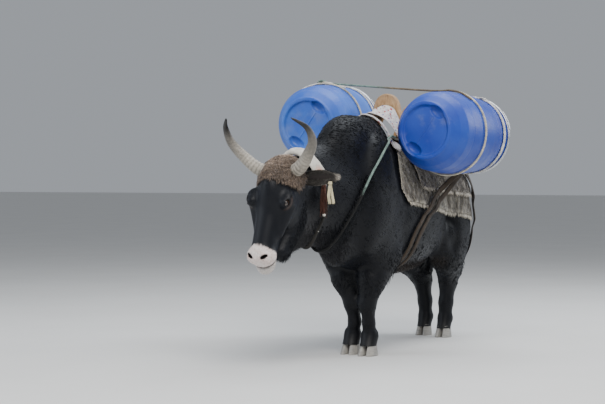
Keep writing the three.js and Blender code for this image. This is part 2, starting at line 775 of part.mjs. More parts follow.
// A strap along points on the body, or off it where they stand clear, with a flat section across its run
function strapSolid({ route, closed = false, width, thick, steps, lift = 9, over = underGear, form = TRUNK, loose = false }) {
  const line = new THREE.CatmullRomCurve3(route, closed, "centripetal");
  const count = closed ? steps : steps + 1;
  const loops = Array.from({ length: count }, (_, i) => {
    const t = i / steps;
    const free = line.getPointAt(t);
    const clear = loose ? form(free.x, free.y, free.z) : 0;
    const at = laidOn(form, free, Math.max(lift, clear));
    const normal = slopeOf(form, at);
    const heading = line.getTangentAt(t).projectOnPlane(normal).normalize();
    const across = heading.clone().cross(normal);
    const offsets = width > 40 ? [-0.5, 0, 0.5] : [-0.5, 0.5];
    const row = (extra) =>
      offsets.map((k) => {
        const p = at.clone().addScaledVector(across, k * width);
        return laidOn(form, p, Math.max(lift + over(p), clear) + extra);
      });
    return [...row(0), ...row(thick).reverse()];
  });
  return closed ? loopSolid(loops) : tubeSolid(loops);
}

// A round rope along a free or laid route
function ropeSolid(points, radius, steps, sides = 7, closed = false) {
  const line = new THREE.CatmullRomCurve3(points, closed, "centripetal");
  const section = new THREE.Shape(
    Array.from({ length: sides }, (_, i) => {
      const angle = (2 * Math.PI * i) / sides;
      return new THREE.Vector2(radius * Math.cos(angle), radius * Math.sin(angle));
    }),
  );
  return solidOf(new THREE.ExtrudeGeometry(section, { steps, extrudePath: line, bevelEnabled: false }));
}

const mirrored = (points) => [...points, ...points.slice(0, -1).reverse().map((p) => vec(-p.x, p.y, p.z))];
const route = (rows) => rows.map(([x, y, z]) => vec(x, y, z));

// Drums: the left one sits a little further forward at its front end; both splay outward to the rear
const DRUMS = {
  left: { at: vec(352, -200, 1115), yaw: -5.5, pitch: 1.5, turn: 35 },
  right: { at: vec(-325, -135, 1152), yaw: 5, pitch: -3.4, turn: 35 },
};

// The drum's own frame: +Y runs rearward along its axis from the middle of the front face
function drumFrame({ at, yaw, pitch }) {
  return new THREE.Matrix4()
    .makeTranslation(at.x, at.y, at.z)
    .multiply(new THREE.Matrix4().makeRotationZ(rad(yaw)))
    .multiply(new THREE.Matrix4().makeRotationX(rad(-pitch)));
}

function turned(profile, segments = 22) {
  return solidOf(new THREE.LatheGeometry(profile.map(([r, y]) => new THREE.Vector2(r, y)), segments));
}

const LID_START = DRUM_LENGTH - 42;
function drumSolids(drum) {
  const frame = drumFrame(drum);
  const place = (solid) => solidOf(geometryOf(solid).applyMatrix4(frame));
  const body = turned([
    [0, 12],
    [118, 12],
    [127, 0],
    [141, 0],
    [147, 12],
    [174, 46],
    [195, 95],
    [DRUM_RADIUS, 210],
    [203, 370],
    [192, 480],
    [178, LID_START - CUT_GAP],
    [0, LID_START - CUT_GAP],
  ]);
  const pocket = (side) => {
    const cut = new THREE.SphereGeometry(1, 10, 6);
    cut.scale(44, 22, 26);
    cut.translate(0, 12, side * 108);
    cut.rotateY(rad(drum.turn));
    return solidOf(cut);
  };
  const bar = new THREE.BoxGeometry(5, 6, 170);
  bar.translate(0, 12.5, 0);
  bar.rotateY(rad(drum.turn));
  const lid = turned([
    [0, LID_START],
    [187, LID_START],
    [187, LID_START + 26],
    [176, LID_START + 34],
    [160, LID_START + 34],
    [154, LID_START + 22],
    [0, LID_START + 20],
  ]);
  const clamp = turned(
    [
      [187 + CUT_GAP, LID_START + 7],
      [196, LID_START + 10],
      [196, LID_START + 21],
      [187 + CUT_GAP, LID_START + 24],
      [187 + CUT_GAP, LID_START + 7],
    ],
  );
  return {
    body: place(body.subtract(pocket(1)).subtract(pocket(-1)).add(solidOf(bar))),
    lid: place(lid),
    clamp: place(clamp),
  };
}

// How wide a drum is at a distance along its axis
function drumRadiusAt(y) {
  const stations = [[95, 195], [210, DRUM_RADIUS], [370, 203], [480, 192], [560, 178]];
  const next = stations.findIndex(([at]) => at >= y);
  if (next <= 0) return stations[0][1];
  const [a, b] = [stations[next - 1], stations[next]];
  return mix(a[1], b[1], (y - a[0]) / (b[0] - a[0]));
}

// A rope ring tight round a drum
function drumRing(drum, y, radius, strands) {
  const torus = new THREE.TorusGeometry(drumRadiusAt(y) + radius + 2.5, radius, 4, 20);
  torus.rotateX(Math.PI / 2);
  torus.scale(1, strands, 1);
  torus.translate(0, y, 0);
  return solidOf(torus.applyMatrix4(drumFrame(drum)));
}

// A point over a drum's skin: along its axis, round from the top towards +X, and how high above it
const onDrum = (drum, y, angle, lift) => {
  const r = drumRadiusAt(y) + lift;
  return vec(r * Math.sin(rad(angle)), y, r * Math.cos(rad(angle))).applyMatrix4(drumFrame(drum));
};

// The line that ties the drums together over the saddle, knotted on the right drum's rope
const TIE = { radius: 5.5, lift: 8.5, onRight: 284, onLeft: 232 };
function tieSolid() {
  const over = (drum, y, angles) => angles.map((angle) => onDrum(drum, y, angle, TIE.lift));
  const line = ropeSolid(
    [...over(DRUMS.right, TIE.onRight, [-40, -22, -4, 9]), ...over(DRUMS.left, TIE.onLeft, [-9, 4, 22, 40])],
    TIE.radius,
    16,
    5,
  );
  const knot = new THREE.TorusKnotGeometry(15, 6, 18, 4, 2, 3);
  knot.scale(1, 1, 0.7);
  const at = onDrum(DRUMS.right, TIE.onRight, -6, 15);
  return line.add(solidOf(knot.translate(at.x, at.y, at.z)));
}

// The pack saddle: two arches and two boards
const SADDLE = { frontArch: 150, rearArch: 500, top: 1320, rearDrop: 40, thick: 42 };
function archSolid(y, top, thick) {
  const shape = new THREE.Shape();
  shape.moveTo(-150, 1040);
  shape.lineTo(-74, top - 84);
  shape.quadraticCurveTo(-62, top - 4, 0, top);
  shape.quadraticCurveTo(62, top - 4, 74, top - 84);
  shape.lineTo(150, 1040);
  shape.lineTo(114, 1012);
  shape.lineTo(22, top - 128);
  shape.quadraticCurveTo(14, top - 80, 0, top - 78);
  shape.quadraticCurveTo(-14, top - 80, -22, top - 128);
  shape.lineTo(-114, 1012);
  shape.closePath();
  const arch = new THREE.ExtrudeGeometry(shape, {
    depth: thick,
    bevelEnabled: true,
    bevelThickness: 6,
    bevelSize: 6,
    bevelOffset: -6,
    bevelSegments: 1,
    curveSegments: 5,
  });
  arch.rotateX(Math.PI / 2);
  return solidOf(arch.translate(0, y + thick / 2, 0));
}

const boardRoute = (side) =>
  route([
    [side * 100, 112, 1036],
    [side * 105, 250, 1030],
    [side * 108, 430, 1015],
    [side * 108, 590, 1000],
  ]);

const saddleBoards = [1, -1].map((side) =>
  strapSolid({
    route: boardRoute(side),
    width: 120,
    thick: 22,
    steps: 8,
    lift: 8,
    over: () => UPPER_RUG.lift + UPPER_RUG.thick,
  }),
);
// The boards a little larger, to notch the arches that stand on them
const boardsClear = saddleBoards.map((board) => {
  const shape = geometryOf(board);
  shape.computeBoundingBox();
  const middle = shape.boundingBox.getCenter(vec(0, 0, 0));
  shape.translate(-middle.x, -middle.y, -middle.z).scale(1.03, 1.01, 1.04);
  return solidOf(shape.translate(middle.x, middle.y, middle.z));
});

const rugs = { rug_lower: rugSolid(RUG), rug_upper: rugSolid(UPPER_RUG) };

// The patterned cloth over the back of the hump, in front of the rugs
const hump_cloth = strapSolid({
  route: mirrored(route([[122, 46, 1035], [106, 8, 1085], [84, -36, 1140], [55, -82, 1188], [0, -112, 1206]])),
  width: 62,
  thick: 9,
  steps: 22,
  over: (p) => underGear(p, 60),
});

// Girths: under the belly behind the elbows, and up on a slant to the saddle boards
// Each point has the slant of the run there, so that the two straps stay side by side
const girthHalf = (lead) =>
  [
    [0, 0, 410, 0],
    [120, 2, 440, 0],
    [196, 34, 580, 25],
    [226, 134, 700, 52],
    [252, 250, 790, 58],
  ].map(([x, y, z, slant]) => vec(x, y + lead * Math.cos(rad(slant)), z - lead * Math.sin(rad(slant))));
// Their ends hang from the undersides of the drums, near the lids
const GIRTH_ENDS = { left: [318, 372, 908], right: [-294, 440, 940] };
const girthLoop = (lead) => {
  const half = girthHalf(lead);
  const other = half.slice(1).map((p) => vec(-p.x, p.y + (p.z > 750 ? 30 : 0), p.z));
  const end = (side) => route([GIRTH_ENDS[side]]).map((p) => p.add(vec(0, lead, 0)));
  return [...end("right"), ...other.reverse(), ...half, ...end("left")];
};
const gearOver = (p) => underGear(p, 60);

// The breeching lies on the trunk and on the backs of the thighs, and spans the gap between them
const haunches = blended(
  [TRUNK, paired(limb(THIGH_LINE)), limb({ from: [-95, 812, 455], to: [95, 812, 455], radii: [46, 46] })],
  40,
);
const straps = {
  girth_front: strapSolid({ route: girthLoop(-34), width: 34, thick: 6, steps: 30, over: gearOver, loose: true }),
  girth_rear: strapSolid({ route: girthLoop(34), width: 34, thick: 6, steps: 30, over: gearOver, loose: true }),
  breeching: strapSolid({
    route: mirrored(
      route([
        [175, 600, 960],
        [214, 700, 890],
        [232, 800, 760],
        [228, 832, 620],
        [176, 880, 500],
        [0, 870, 452],
      ]),
    ),
    width: 62,
    thick: 8,
    steps: 26,
    lift: 15,
    over: gearOver,
    form: haunches,
  }),
};

// The breast rope, from the saddle forward and down round the front of the chest
const breastLine = new THREE.CatmullRomCurve3(
  mirrored(
    route([
      [118, 60, 1110],
      [150, -120, 1090],
      [175, -284, 1029],
      [166, -396, 921],
      [143, -473, 816],
      [113, -533, 711],
      [76, -577, 608],
      [0, -600, 545],
    ]),
  ),
  false,
  "centripetal",
);
const breastRoute = breastLine
  .getSpacedPoints(36)
  .map((p) => laidOn(TRUNK, p, 15 + 4 * smooth(620, 550, p.z) + 14 * smooth(-200, -60, p.y) + underGear(p, 80)));
const breast_rope = ropeSolid(breastRoute, 6.5, 36, 5);

// The collar: a broad cloth band over the crest behind the horns, narrowing to a cord under the throat
const COLLAR_LIFT = 20;
const collarPlane = { at: vec(-36, -693, 800), normal: vec(-0.05, -1, -0.45).normalize() };
function collarSolid() {
  const count = 20;
  const down = vec(0, -0.1, -1).normalize();
  const right = X.clone().projectOnPlane(collarPlane.normal).normalize();
  const up = collarPlane.normal.clone().cross(right);
  const loops = Array.from({ length: count }, (_, i) => {
    const angle = (2 * Math.PI * i) / count + Math.PI / 2;
    const direction = right
      .clone()
      .multiplyScalar(Math.cos(angle))
      .addScaledVector(Math.sin(angle) > 0 ? up : down, Math.abs(Math.sin(angle)));
    const high = smooth(0.4, 0.8, Math.sin(angle));
    const half = mix(7, 37, high);
    const thick = mix(8, 16, high);
    const reach = reachOf(TRUNK, collarPlane.at, direction, 400);
    const at = collarPlane.at.clone().addScaledVector(direction, reach);
    const row = (lift) =>
      [-1, -0.4, 0.4, 1].map((k) =>
        laidOn(TRUNK, at.clone().addScaledVector(collarPlane.normal, k * half), lift - (lift > COLLAR_LIFT ? 4 * k * k : 0)),
      );
    return [...row(COLLAR_LIFT), ...row(COLLAR_LIFT + thick).reverse()];
  });
  return loopSolid(loops);
}

// Yarn strands that hang in a bunch, with a bead at the end
function tasselSolid(top, length, seed) {
  const draw = seeded(seed);
  const strands = Array.from({ length: 3 }, (_, i) => {
    const spread = vec(0.14 * (i - 1) + 0.05 * draw(), 0.08 * (draw() - 0.5), -1);
    return lockSolid({
      root: top.clone().add(vec(5 * (i - 1), 3 * (draw() - 0.5), 0)),
      start: spread.clone().normalize(),
      end: vec(0.05 * (draw() - 0.5), 0, -1),
      length: length * (0.82 + 0.18 * draw()),
      width: 12,
      thick: 9,
      side: vec(1, 0.4, 0),
    });
  });
  return union([...strands, ball(top, 11, 8, 6)]);
}

// A two-tailed ribbon that hangs from the left ear
function ribbonSolid(top) {
  const tails = [-1, 1].map((side) => {
    const route = [
      top.clone(),
      top.clone().add(vec(side * 4, 1, -28)),
      top.clone().add(vec(side * 8 + 2, -1, -62)),
      top.clone().add(vec(side * 9 + 6, 2, -96)),
    ];
    const line = new THREE.CatmullRomCurve3(route);
    const loops = Array.from({ length: 6 }, (_, i) => {
      const at = line.getPointAt(i / 5);
      const half = mix(6, 7.5, i / 5);
      return [
        [-half, -1],
        [half, -1],
        [half, 1],
        [-half, 1],
      ].map(([u, v]) => at.clone().add(vec(u, v + side * 1.1, 0)));
    });
    return tubeSolid(loops);
  });
  const knot = new THREE.SphereGeometry(1, 8, 5).scale(11, 8, 8).translate(top.x, top.y, top.z);
  return union([...tails, solidOf(knot)]);
}

const tail = tailParts();
const hoofNodes = {};
const footCentres = {
  fore_left: vec(FOOT_SPREAD_FRONT, -214, 0),
  fore_right: vec(7 - FOOT_SPREAD_FRONT, -214 + FORE_STEP, 0),
  hind_left: vec(FOOT_SPREAD_REAR, 764, 0),
  hind_right: vec(-FOOT_SPREAD_REAR, 822, 0),
};
for (const [name, centre] of Object.entries(footCentres)) {
  const outward = Math.sign(centre.x);
  const scale = name.startsWith("fore") ? 1 : 0.93;
  hoofNodes[`hoof_${name}_outer`] = clawSolid(centre, outward, scale);
  hoofNodes[`hoof_${name}_inner`] = clawSolid(centre, -outward, scale);
}

// Colours and finish of each material
const finish = (color, roughness, metalness = 0) => ({ color, roughness, metalness });
const FINISH = {
  coat: finish(0x17181c, 0.5),
  horn: finish(0xb9ad98, 0.45),
  eye: finish(0x140f0c, 0.1),
  hoof: finish(0x8f8b84, 0.6),
  drum: finish(0x4f86d0, 0.4),
  steel: finish(0xb6b9bc, 0.4, 0.9),
  rope: finish(0xd8d0ba, 0.9),
  greenRope: finish(0x7f8f83, 0.9),
  webbing: finish(0x4c4036, 0.9),
  rug: finish(0x7c7468, 1),
  cloth: finish(0xd8d2cf, 0.95),
  wood: finish(0xc79f6c, 0.6),
  yarn: finish(0x74463a, 0.95),
};

const group = new THREE.Group();
function node(name, solid, look) {
  const mesh = new THREE.Mesh(geometryOf(solid), new THREE.MeshStandardMaterial(FINISH[look]));
  mesh.name = name;
  group.add(mesh);
  return mesh;
}

const legsAll = Object.entries(legs).flatMap(([name, solid]) => Object.entries(legNodes(name, solid)));
node("torso", torsoSolid, "coat");
node("neck", neckSolid, "coat");
node("head", headSolid, "coat");
["left", "right"].forEach((side, i) => {
  const mirror = i === 0 ? 1 : -1;
  node(`ear_${side}`, ears[i], "coat");
  node(`horn_${side}`, horns[i], "horn");
  node(`eye_${side}`, placedInHead(ball(sideways(mirror, EYE.at), EYE.radius)), "eye");
});
legsAll.forEach(([name, solid]) => node(name, solid, "coat"));
Object.entries(hoofNodes).forEach(([name, solid]) => node(name, solid, "hoof"));
node("tail_dock", tail.dock, "coat");
node("tail_tassel", tail.tassel, "coat");

node("rug_lower", rugs.rug_lower, "rug");
node("rug_upper", rugs.rug_upper, "rug");
node("hump_cloth", hump_cloth, "cloth");
Object.entries(straps).forEach(([name, solid]) => node(name, solid, "webbing"));
node("breast_rope", breast_rope, "greenRope");
saddleBoards.forEach((solid, i) => node(`saddle_board_${["left", "right"][i]}`, solid, "wood"));
["front", "rear"].forEach((place) => {
  const arch = archSolid(SADDLE[`${place}Arch`], SADDLE.top - (place === "rear" ? SADDLE.rearDrop : 0), SADDLE.thick);
  node(`saddle_arch_${place}`, arch.subtract(union(boardsClear)), "wood");
});

Object.entries(DRUMS).forEach(([side, drum]) => {
  const solids = drumSolids(drum);
  node(`drum_${side}_body`, solids.body, "drum");
  node(`drum_${side}_lid`, solids.lid, "drum");
  node(`drum_${side}_clamp`, solids.clamp, "steel");
  node(`drum_${side}_rope_front`, drumRing(drum, 255, 5.5, 1), "rope");
  node(`drum_${side}_rope_rear`, drumRing(drum, 504, 5.5, 2), "rope");
});

node("drum_tie", tieSolid(), "greenRope");

node("collar_band", collarSolid(), "cloth");
const tasselTop = laidOn(TRUNK, vec(74, -752, 848), 44);
node("collar_tassel_left", tasselSolid(tasselTop, 150, 3), "yarn");
node("collar_tassel_right", tasselSolid(laidOn(TRUNK, vec(-175, -760, 780), 46), 150, 4), "yarn");
node("ear_ribbon", ribbonSolid(inHead(222, -104, 34).add(vec(0, 0, -36))), "cloth");

// The origin goes to the middle of the bottom of the whole part's box
const box = new THREE.Box3().setFromObject(group);
const middle = box.getCenter(vec(0, 0, 0));
const origin = vec(-middle.x, -middle.y, -box.min.z);
group.children.forEach((mesh) => mesh.geometry.translate(origin.x, origin.y, origin.z));

export default group;
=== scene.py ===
import bpy
import math
import numpy as np
from mathutils import Matrix, Vector


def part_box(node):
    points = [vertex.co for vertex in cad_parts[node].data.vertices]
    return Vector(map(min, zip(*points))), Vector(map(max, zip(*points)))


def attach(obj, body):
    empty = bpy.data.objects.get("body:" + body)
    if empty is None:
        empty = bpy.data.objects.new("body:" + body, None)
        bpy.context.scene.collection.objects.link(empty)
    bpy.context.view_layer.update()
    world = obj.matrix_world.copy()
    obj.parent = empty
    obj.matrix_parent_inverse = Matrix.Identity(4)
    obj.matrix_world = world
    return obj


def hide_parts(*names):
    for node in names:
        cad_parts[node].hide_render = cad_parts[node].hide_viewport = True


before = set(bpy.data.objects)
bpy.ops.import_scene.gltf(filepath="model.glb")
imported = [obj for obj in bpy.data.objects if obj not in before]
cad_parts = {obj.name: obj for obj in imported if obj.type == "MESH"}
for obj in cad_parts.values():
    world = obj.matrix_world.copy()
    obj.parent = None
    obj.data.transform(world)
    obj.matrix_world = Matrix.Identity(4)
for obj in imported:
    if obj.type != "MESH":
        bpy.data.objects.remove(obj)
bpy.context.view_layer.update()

# Points are made in the working frame of the source, in millimetres. The low corner of one claw, where it lies
# in that frame and where it lies in the frame of the part, gives the way from the one to the other
FOOT_LOW = np.array([0.0595, -0.274, 0.0])
OFFSET = np.array(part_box("hoof_fore_left_outer")[0]) - FOOT_LOW
OFFSET[2] = 0.0
rng = np.random.default_rng(7)


# Camera, at the photograph's viewing angle: where it looks, from how far off and how high, and its lens
CAMERA = {"at": (-0.2175, -0.392, 0.0), "yaw": 27, "pitch": 1.0, "away": 7.41, "high": 0.893}
FOCAL_PIXELS, WIDTH_PIXELS, SENSOR = 1500, 605, 36


def make_camera():
    data = bpy.data.cameras.new("camera")
    camera = bpy.data.objects.new("camera", data)
    bpy.context.scene.collection.objects.link(camera)
    yaw, pitch = math.radians(CAMERA["yaw"]), math.radians(CAMERA["pitch"])
    ahead = Vector((-math.sin(yaw) * math.cos(pitch), math.cos(yaw) * math.cos(pitch), -math.sin(pitch)))
    target = Vector(CAMERA["at"]) + Vector(OFFSET)
    flat = Vector((ahead.x, ahead.y, 0)).normalized()
    camera.location = target - flat * CAMERA["away"] + Vector((0, 0, CAMERA["high"]))
    camera.rotation_euler = ahead.to_track_quat("-Z", "Y").to_euler()
    data.lens = FOCAL_PIXELS / WIDTH_PIXELS * SENSOR
    data.sensor_width = SENSOR
    data.clip_end = 100
    bpy.context.scene.camera = camera


make_camera()


def finer(full):
    return full


def unit(v):
    return v / np.maximum(np.linalg.norm(v, axis=-1, keepdims=True), 1e-9)


def brushed(lie, normal):
    """Directions turned to lie flat on the surface that the normals belong to."""
    return unit(lie - normal * np.sum(lie * normal, 1)[:, None])


def circle(count):
    return np.arange(count) / count * 2 * math.pi


# Soft forms, in millimetres of the working frame, as in the part's source
def smoothstep(a, b, x):
    t = np.clip((x - a) / (b - a), 0, 1)
    return t * t * (3 - 2 * t)


def blob(at, half, tilt=0.0):
    c, s = math.cos(math.radians(tilt)), math.sin(math.radians(tilt))

    def form(x, y, z):
        dx = x - at[0]
        dy = c * (y - at[1]) + s * (z - at[2])
        dz = -s * (y - at[1]) + c * (z - at[2])
        near = np.sqrt((dx / half[0]) ** 2 + (dy / half[1]) ** 2 + (dz / half[2]) ** 2)
        far = np.sqrt((dx / half[0] ** 2) ** 2 + (dy / half[1] ** 2) ** 2 + (dz / half[2] ** 2) ** 2)
        return near * (near - 1) / np.maximum(far, 1e-6)

    return form


def limb(a, b, radii, flat=1.0):
    ax, ay, az = (b[0] - a[0]) / flat, b[1] - a[1], b[2] - a[2]
    length2 = ax * ax + ay * ay + az * az

    def form(x, y, z):
        px, py, pz = (x - a[0]) / flat, y - a[1], z - a[2]
        t = np.clip((px * ax + py * ay + pz * az) / length2, 0, 1)
        gap = np.sqrt((px - ax * t) ** 2 + (py - ay * t) ** 2 + (pz - az * t) ** 2)
        return gap - (radii[0] + (radii[1] - radii[0]) * t)

    return form


def paired(form):
    return lambda x, y, z: form(np.abs(x), y, z)


def soft_min(a, b, k):
    h = np.maximum(k - np.abs(a - b), 0) / k
    return np.minimum(a, b) - h * h * k / 4


def blended(forms, k):
    def form(x, y, z):
        near = forms[0](x, y, z)
        for other in forms[1:]:
            near = soft_min(near, other(x, y, z), k)
        return near

    return form


def hollowed(form, cuts, k):
    """The form with soft hollows: each cut is a form whose inside is pressed in."""

    def result(x, y, z):
        near = form(x, y, z)
        for cut in cuts:
            near = -soft_min(-near, cut(x, y, z), k)
        return near

    return result


HUMP_TOP = 1200
POLL = np.array([-62.0, -930.0, 978.0])
HEAD_PITCH, HEAD_TURN, HEAD_ROLL = 68.5, -2.0, 2.9


def neck_shift(y):
    return POLL[0] * smoothstep(-430, -900, y)


NECK = blended(
    [
        limb((0, -420, 800), (0, -935, 822), (235, 120), 0.62),
        limb((0, -430, 690), (0, -850, 755), (195, 100), 0.5),
        limb((0, -330, 1030), (0, -900, 860), (110, 66), 0.8),
        limb((0, -885, 604), (0, -770, 642), (68, 74), 0.55),
    ],
    60,
)
TRUNK = blended(
    [
        blob((0, 180, 715), (228, 560, 300)),
        blob((0, -230, 735), (190, 300, 305)),
        blob((0, -350, 1000), (118, 236, HUMP_TOP - 1010)),
        blob((0, -165, 985), (116, 250, HUMP_TOP - 995)),
        blob((0, 150, 900), (120, 420, 165), 3),
        paired(blob((125, -300, 800), (88, 150, 290), -14)),
        paired(blob((124, -205, 560), (72, 120, 150))),
        blob((0, 640, 800), (200, 250, 235)),
        paired(blob((118, 680, 635), (116, 208, 285), 12)),
        paired(blob((150, 470, 960), (52, 90, 60))),
        paired(blob((62, 835, 900), (52, 62, 70))),
        blob((0, 180, 560), (195, 430, 150)),
        blob((0, -450, 610), (92, 112, 155)),
        lambda x, y, z: NECK(x - neck_shift(y), y, z),
    ],
    55,
)

# The head's own frame: +X its left, +Y out of the forehead, +Z from the poll to the nose
def head_frame():
    c, s = math.cos(math.radians(HEAD_PITCH)), math.sin(math.radians(HEAD_PITCH))
    return np.array(
        Matrix.Translation(POLL)
        @ Matrix.Rotation(math.radians(HEAD_TURN), 4, "Z")
        @ Matrix.Rotation(math.radians(HEAD_ROLL), 4, "Y")
        @ Matrix(((1, 0, 0, 0), (0, -s, -c, 0), (0, c, -s, 0), (0, 0, 0, 1)))
    )


HEAD_FRAME = head_frame()
HEAD_SIDE, HEAD_DOWN = HEAD_FRAME[:3, 0], HEAD_FRAME[:3, 2]
HEAD_BACK = np.linalg.inv(HEAD_FRAME)


def to_head(x, y, z):
    return tuple(m[0] * x + m[1] * y + m[2] * z + m[3] for m in HEAD_BACK[:3])


def from_head(points):
    points = np.asarray(points, float)
    return points @ HEAD_FRAME[:3, :3].T + HEAD_FRAME[:3, 3]


HEAD_LOCAL = blended(
    [
        blob((0, -78, 80), (106, 80, 98)),
        blob((0, -52, 182), (106, 72, 122)),
        limb((0, -52, 180), (0, -62, 430), (70, 55), 0.98),
        limb((0, -20, 225), (0, -36, 440), (42, 34), 1.15),
        paired(blob((88, -6, 200), (32, 28, 44))),
        paired(limb((90, -44, 228), (58, -64, 345), (26, 15))),
        paired(blob((58, -124, 205), (40, 82, 100))),
        paired(limb((50, -188, 240), (36, -150, 404), (46, 40))),
        blob((0, -60, 456), (64, 53, 50)),
        blob((0, -106, 484), (46, 33, 46)),
        paired(blob((33, -36, 470), (26, 25, 26))),
        blob((0, -148, 128), (76, 82, 108)),
    ],
    26,
)
EYE = np.array([87.0, 2.0, 220.0])
EYE_RADIUS = 20.0
EYE_LOOK = unit(np.array([0.86, 0.5, 0.08]))
EYE_LONG = np.array([0.0, 0.12, 1.0])
EYE_LONG = unit(EYE_LONG - EYE_LOOK * EYE_LONG.dot(EYE_LOOK))
EYE_HIGH = np.cross(EYE_LOOK, EYE_LONG)
NOSTRIL = {"at": (35, -20, 472), "half": (9, 15, 20), "turn": -35, "slant": -52}


def muzzle_level(hx, hy, hz):
    """How far down the head a point lies, so that the edge of the white muzzle is level."""
    return hz - 26 * smoothstep(-52, -92, hy) - 8 * smoothstep(20, 50, np.abs(hx))


def mouth_gap(hy, hz):
    """How far a point lies above the line of the closed mouth."""
    return hy + 84.3 - 0.287 * (hz - 478)


def eye_place(hx, hy, hz):
    """Where a point lies at its own eye: along the lids, across them, and outwards, in millimetres."""
    dx, dy, dz = np.abs(hx) - EYE[0], hy - EYE[1], hz - EYE[2]
    long = dx * EYE_LONG[0] + dy * EYE_LONG[1] + dz * EYE_LONG[2]
    high = dx * EYE_HIGH[0] + dy * EYE_HIGH[1] + dz * EYE_HIGH[2]
    out = dx * EYE_LOOK[0] + dy * EYE_LOOK[1] + dz * EYE_LOOK[2]
    return long, high, out


def nostril_form(hx, hy, hz):
    turn, slant = math.radians(NOSTRIL["turn"]), math.radians(NOSTRIL["slant"])
    dx, dy, dz = np.abs(hx) - NOSTRIL["at"][0], hy - NOSTRIL["at"][1], hz - NOSTRIL["at"][2]
    c, s = math.cos(turn), math.sin(turn)
    dx, dy = c * dx + s * dy, -s * dx + c * dy
    c, s = math.cos(slant), math.sin(slant)
    return blob((0, 0, 0), NOSTRIL["half"])(c * dx - s * dz, dy, s * dx + c * dz)


def head_detail(hx, hy, hz):
    near = HEAD_LOCAL(hx, hy, hz)
    long, high, out = eye_place(hx, hy, hz)
    apart = np.sqrt(long**2 + high**2 + out**2)
    near = soft_min(near, apart - 25.0, 7)
    # folds round the eye, above and below the lids
    ring = np.sqrt((long / 1.5) ** 2 + (high * 1.1) ** 2)
    near = near + 1.5 * np.exp(-(((ring - 21) / 3.2) ** 2)) * smoothstep(-15, 12, out)
    pinch = 1 - 0.35 * np.minimum(np.abs(long) / 16, 1) ** 3
    opening = (np.sqrt((long / 15.5) ** 2 + (high / (8.5 * pinch)) ** 2) - 1) * 7
    opening = np.maximum(opening, 6 - out)
    near = -soft_min(-near, opening, 3)
    near = -soft_min(-near, nostril_form(hx, hy, hz), 6)
    # the closed mouth, the philtrum, and the chin fold
    mouth = np.exp(-((mouth_gap(hy, hz) / 4.0) ** 2)) * smoothstep(388, 440, hz)
    near = near + 6.5 * mouth
    philtrum = np.exp(-((hx / 3.0) ** 2)) * smoothstep(480, 492, hz) * smoothstep(-25, -45, hy)
    near = near + 2.0 * philtrum
    return near


def head_form(x, y, z):
    return head_detail(*to_head(x, y, z))


CORONET = 52
FOOT_FRONT, FOOT_REAR = 57, 70


def foreleg(side):
    near = side > 0
    foot = FOOT_FRONT if near else FOOT_FRONT - 7
    back = 0 if near else 26
    knee = 62 if near else 32
    arm = (84 if near else 66, -222 + back / 2, 385)
    cannon = (58 if near else 31, -207 + back, 160)
    form = blended(
        [
            limb((118, -155, 500), arm, (92, 76), 0.92),
            limb(arm, (knee, -230 + back, 262), (76, 42), 0.96),
            blob((knee, -236 + back, 262), (38, 42, 52)),
            limb((knee, -230 + back, 262), cannon, (42, 31), 0.95),
            limb(cannon, (foot, -192 + back, 98), (30, 33)),
            blob((foot, -186 + back, 98), (38, 38, 34)),
            limb((foot, -192 + back, 98), (foot, -205 + back, 66), (34, 34), 1.08),
            limb((foot, -205 + back, 66), (foot, -216 + back, CORONET - 12), (35, 42)),
            blob((foot - 15, -154 + back, 80), (10, 12, 18)),
            blob((foot + 15, -154 + back, 80), (10, 12, 18)),
        ],
        20,
    )
    return lambda x, y, z: form(side * x, y, z)


def hind_leg(side):
    foot = FOOT_REAR
    lag = 0 if side > 0 else 58
    hock = (80 if side > 0 else 84, 808 + lag / 2, 305)
    form = blended(
        [
            limb((128, 610, 590), (112, 715, 450), (104, 98), 0.78),
            limb((114, 795, 620), (88, 822, 385), (98, 86), 0.78),
            limb((112, 715, 450), hock, (94, 58), 0.84),
            blob((hock[0], 836 + lag / 2, 316), (38, 52, 56)),
            limb(hock, (74, 792 + lag, 190), (54, 41), 0.88),
            limb((74, 792 + lag, 190), (foot, 790 + lag, 102), (40, 35)),
            blob((foot, 796 + lag, 102), (37, 38, 34)),
            limb((foot, 790 + lag, 102), (foot, 775 + lag, 66), (33, 33), 1.05),
            limb((foot, 775 + lag, 66), (foot, 766 + lag, CORONET - 12), (31, 40)),
            blob((foot - 14, 830 + lag, 84), (9, 11, 17)),
            blob((foot + 14, 830 + lag, 84), (9, 11, 17)),
        ],
        20,
    )
    return lambda x, y, z: form(side * x, y, z)


LEGS = {
    "fore_left": foreleg(1),
    "fore_right": foreleg(-1),
    "hind_left": hind_leg(1),
    "hind_right": hind_leg(-1),
}
TAIL_DOCK = blended(
    [
        limb((0, 800, 985), (0, 872, 968), (40, 40)),
        limb((0, 872, 968), (0, 925, 890), (40, 35)),
        limb((0, 925, 890), (0, 944, 780), (35, 30)),
        limb((0, 944, 780), (0, 952, 560), (30, 16)),
    ],
    30,
)


# Slight hollows of the real body, which the solids leave out
BODY_HOLLOWS = [
    paired(blob((262, 390, 800), (60, 95, 120))),
    paired(blob((262, -75, 760), (52, 26, 190), -10)),
    paired(blob((200, 560, 600), (40, 45, 120), 20)),
    paired(blob((100, 870, 770), (34, 50, 110))),
]


def skin_form(x, y, z):
    near = hollowed(TRUNK, BODY_HOLLOWS, 34)(x, y, z)
    for leg in LEGS.values():
        near = soft_min(near, leg(x, y, z), 34)
    near = soft_min(near, TAIL_DOCK(x, y, z), 24)
    near = soft_min(near, head_form(x, y, z), 34)
    return near


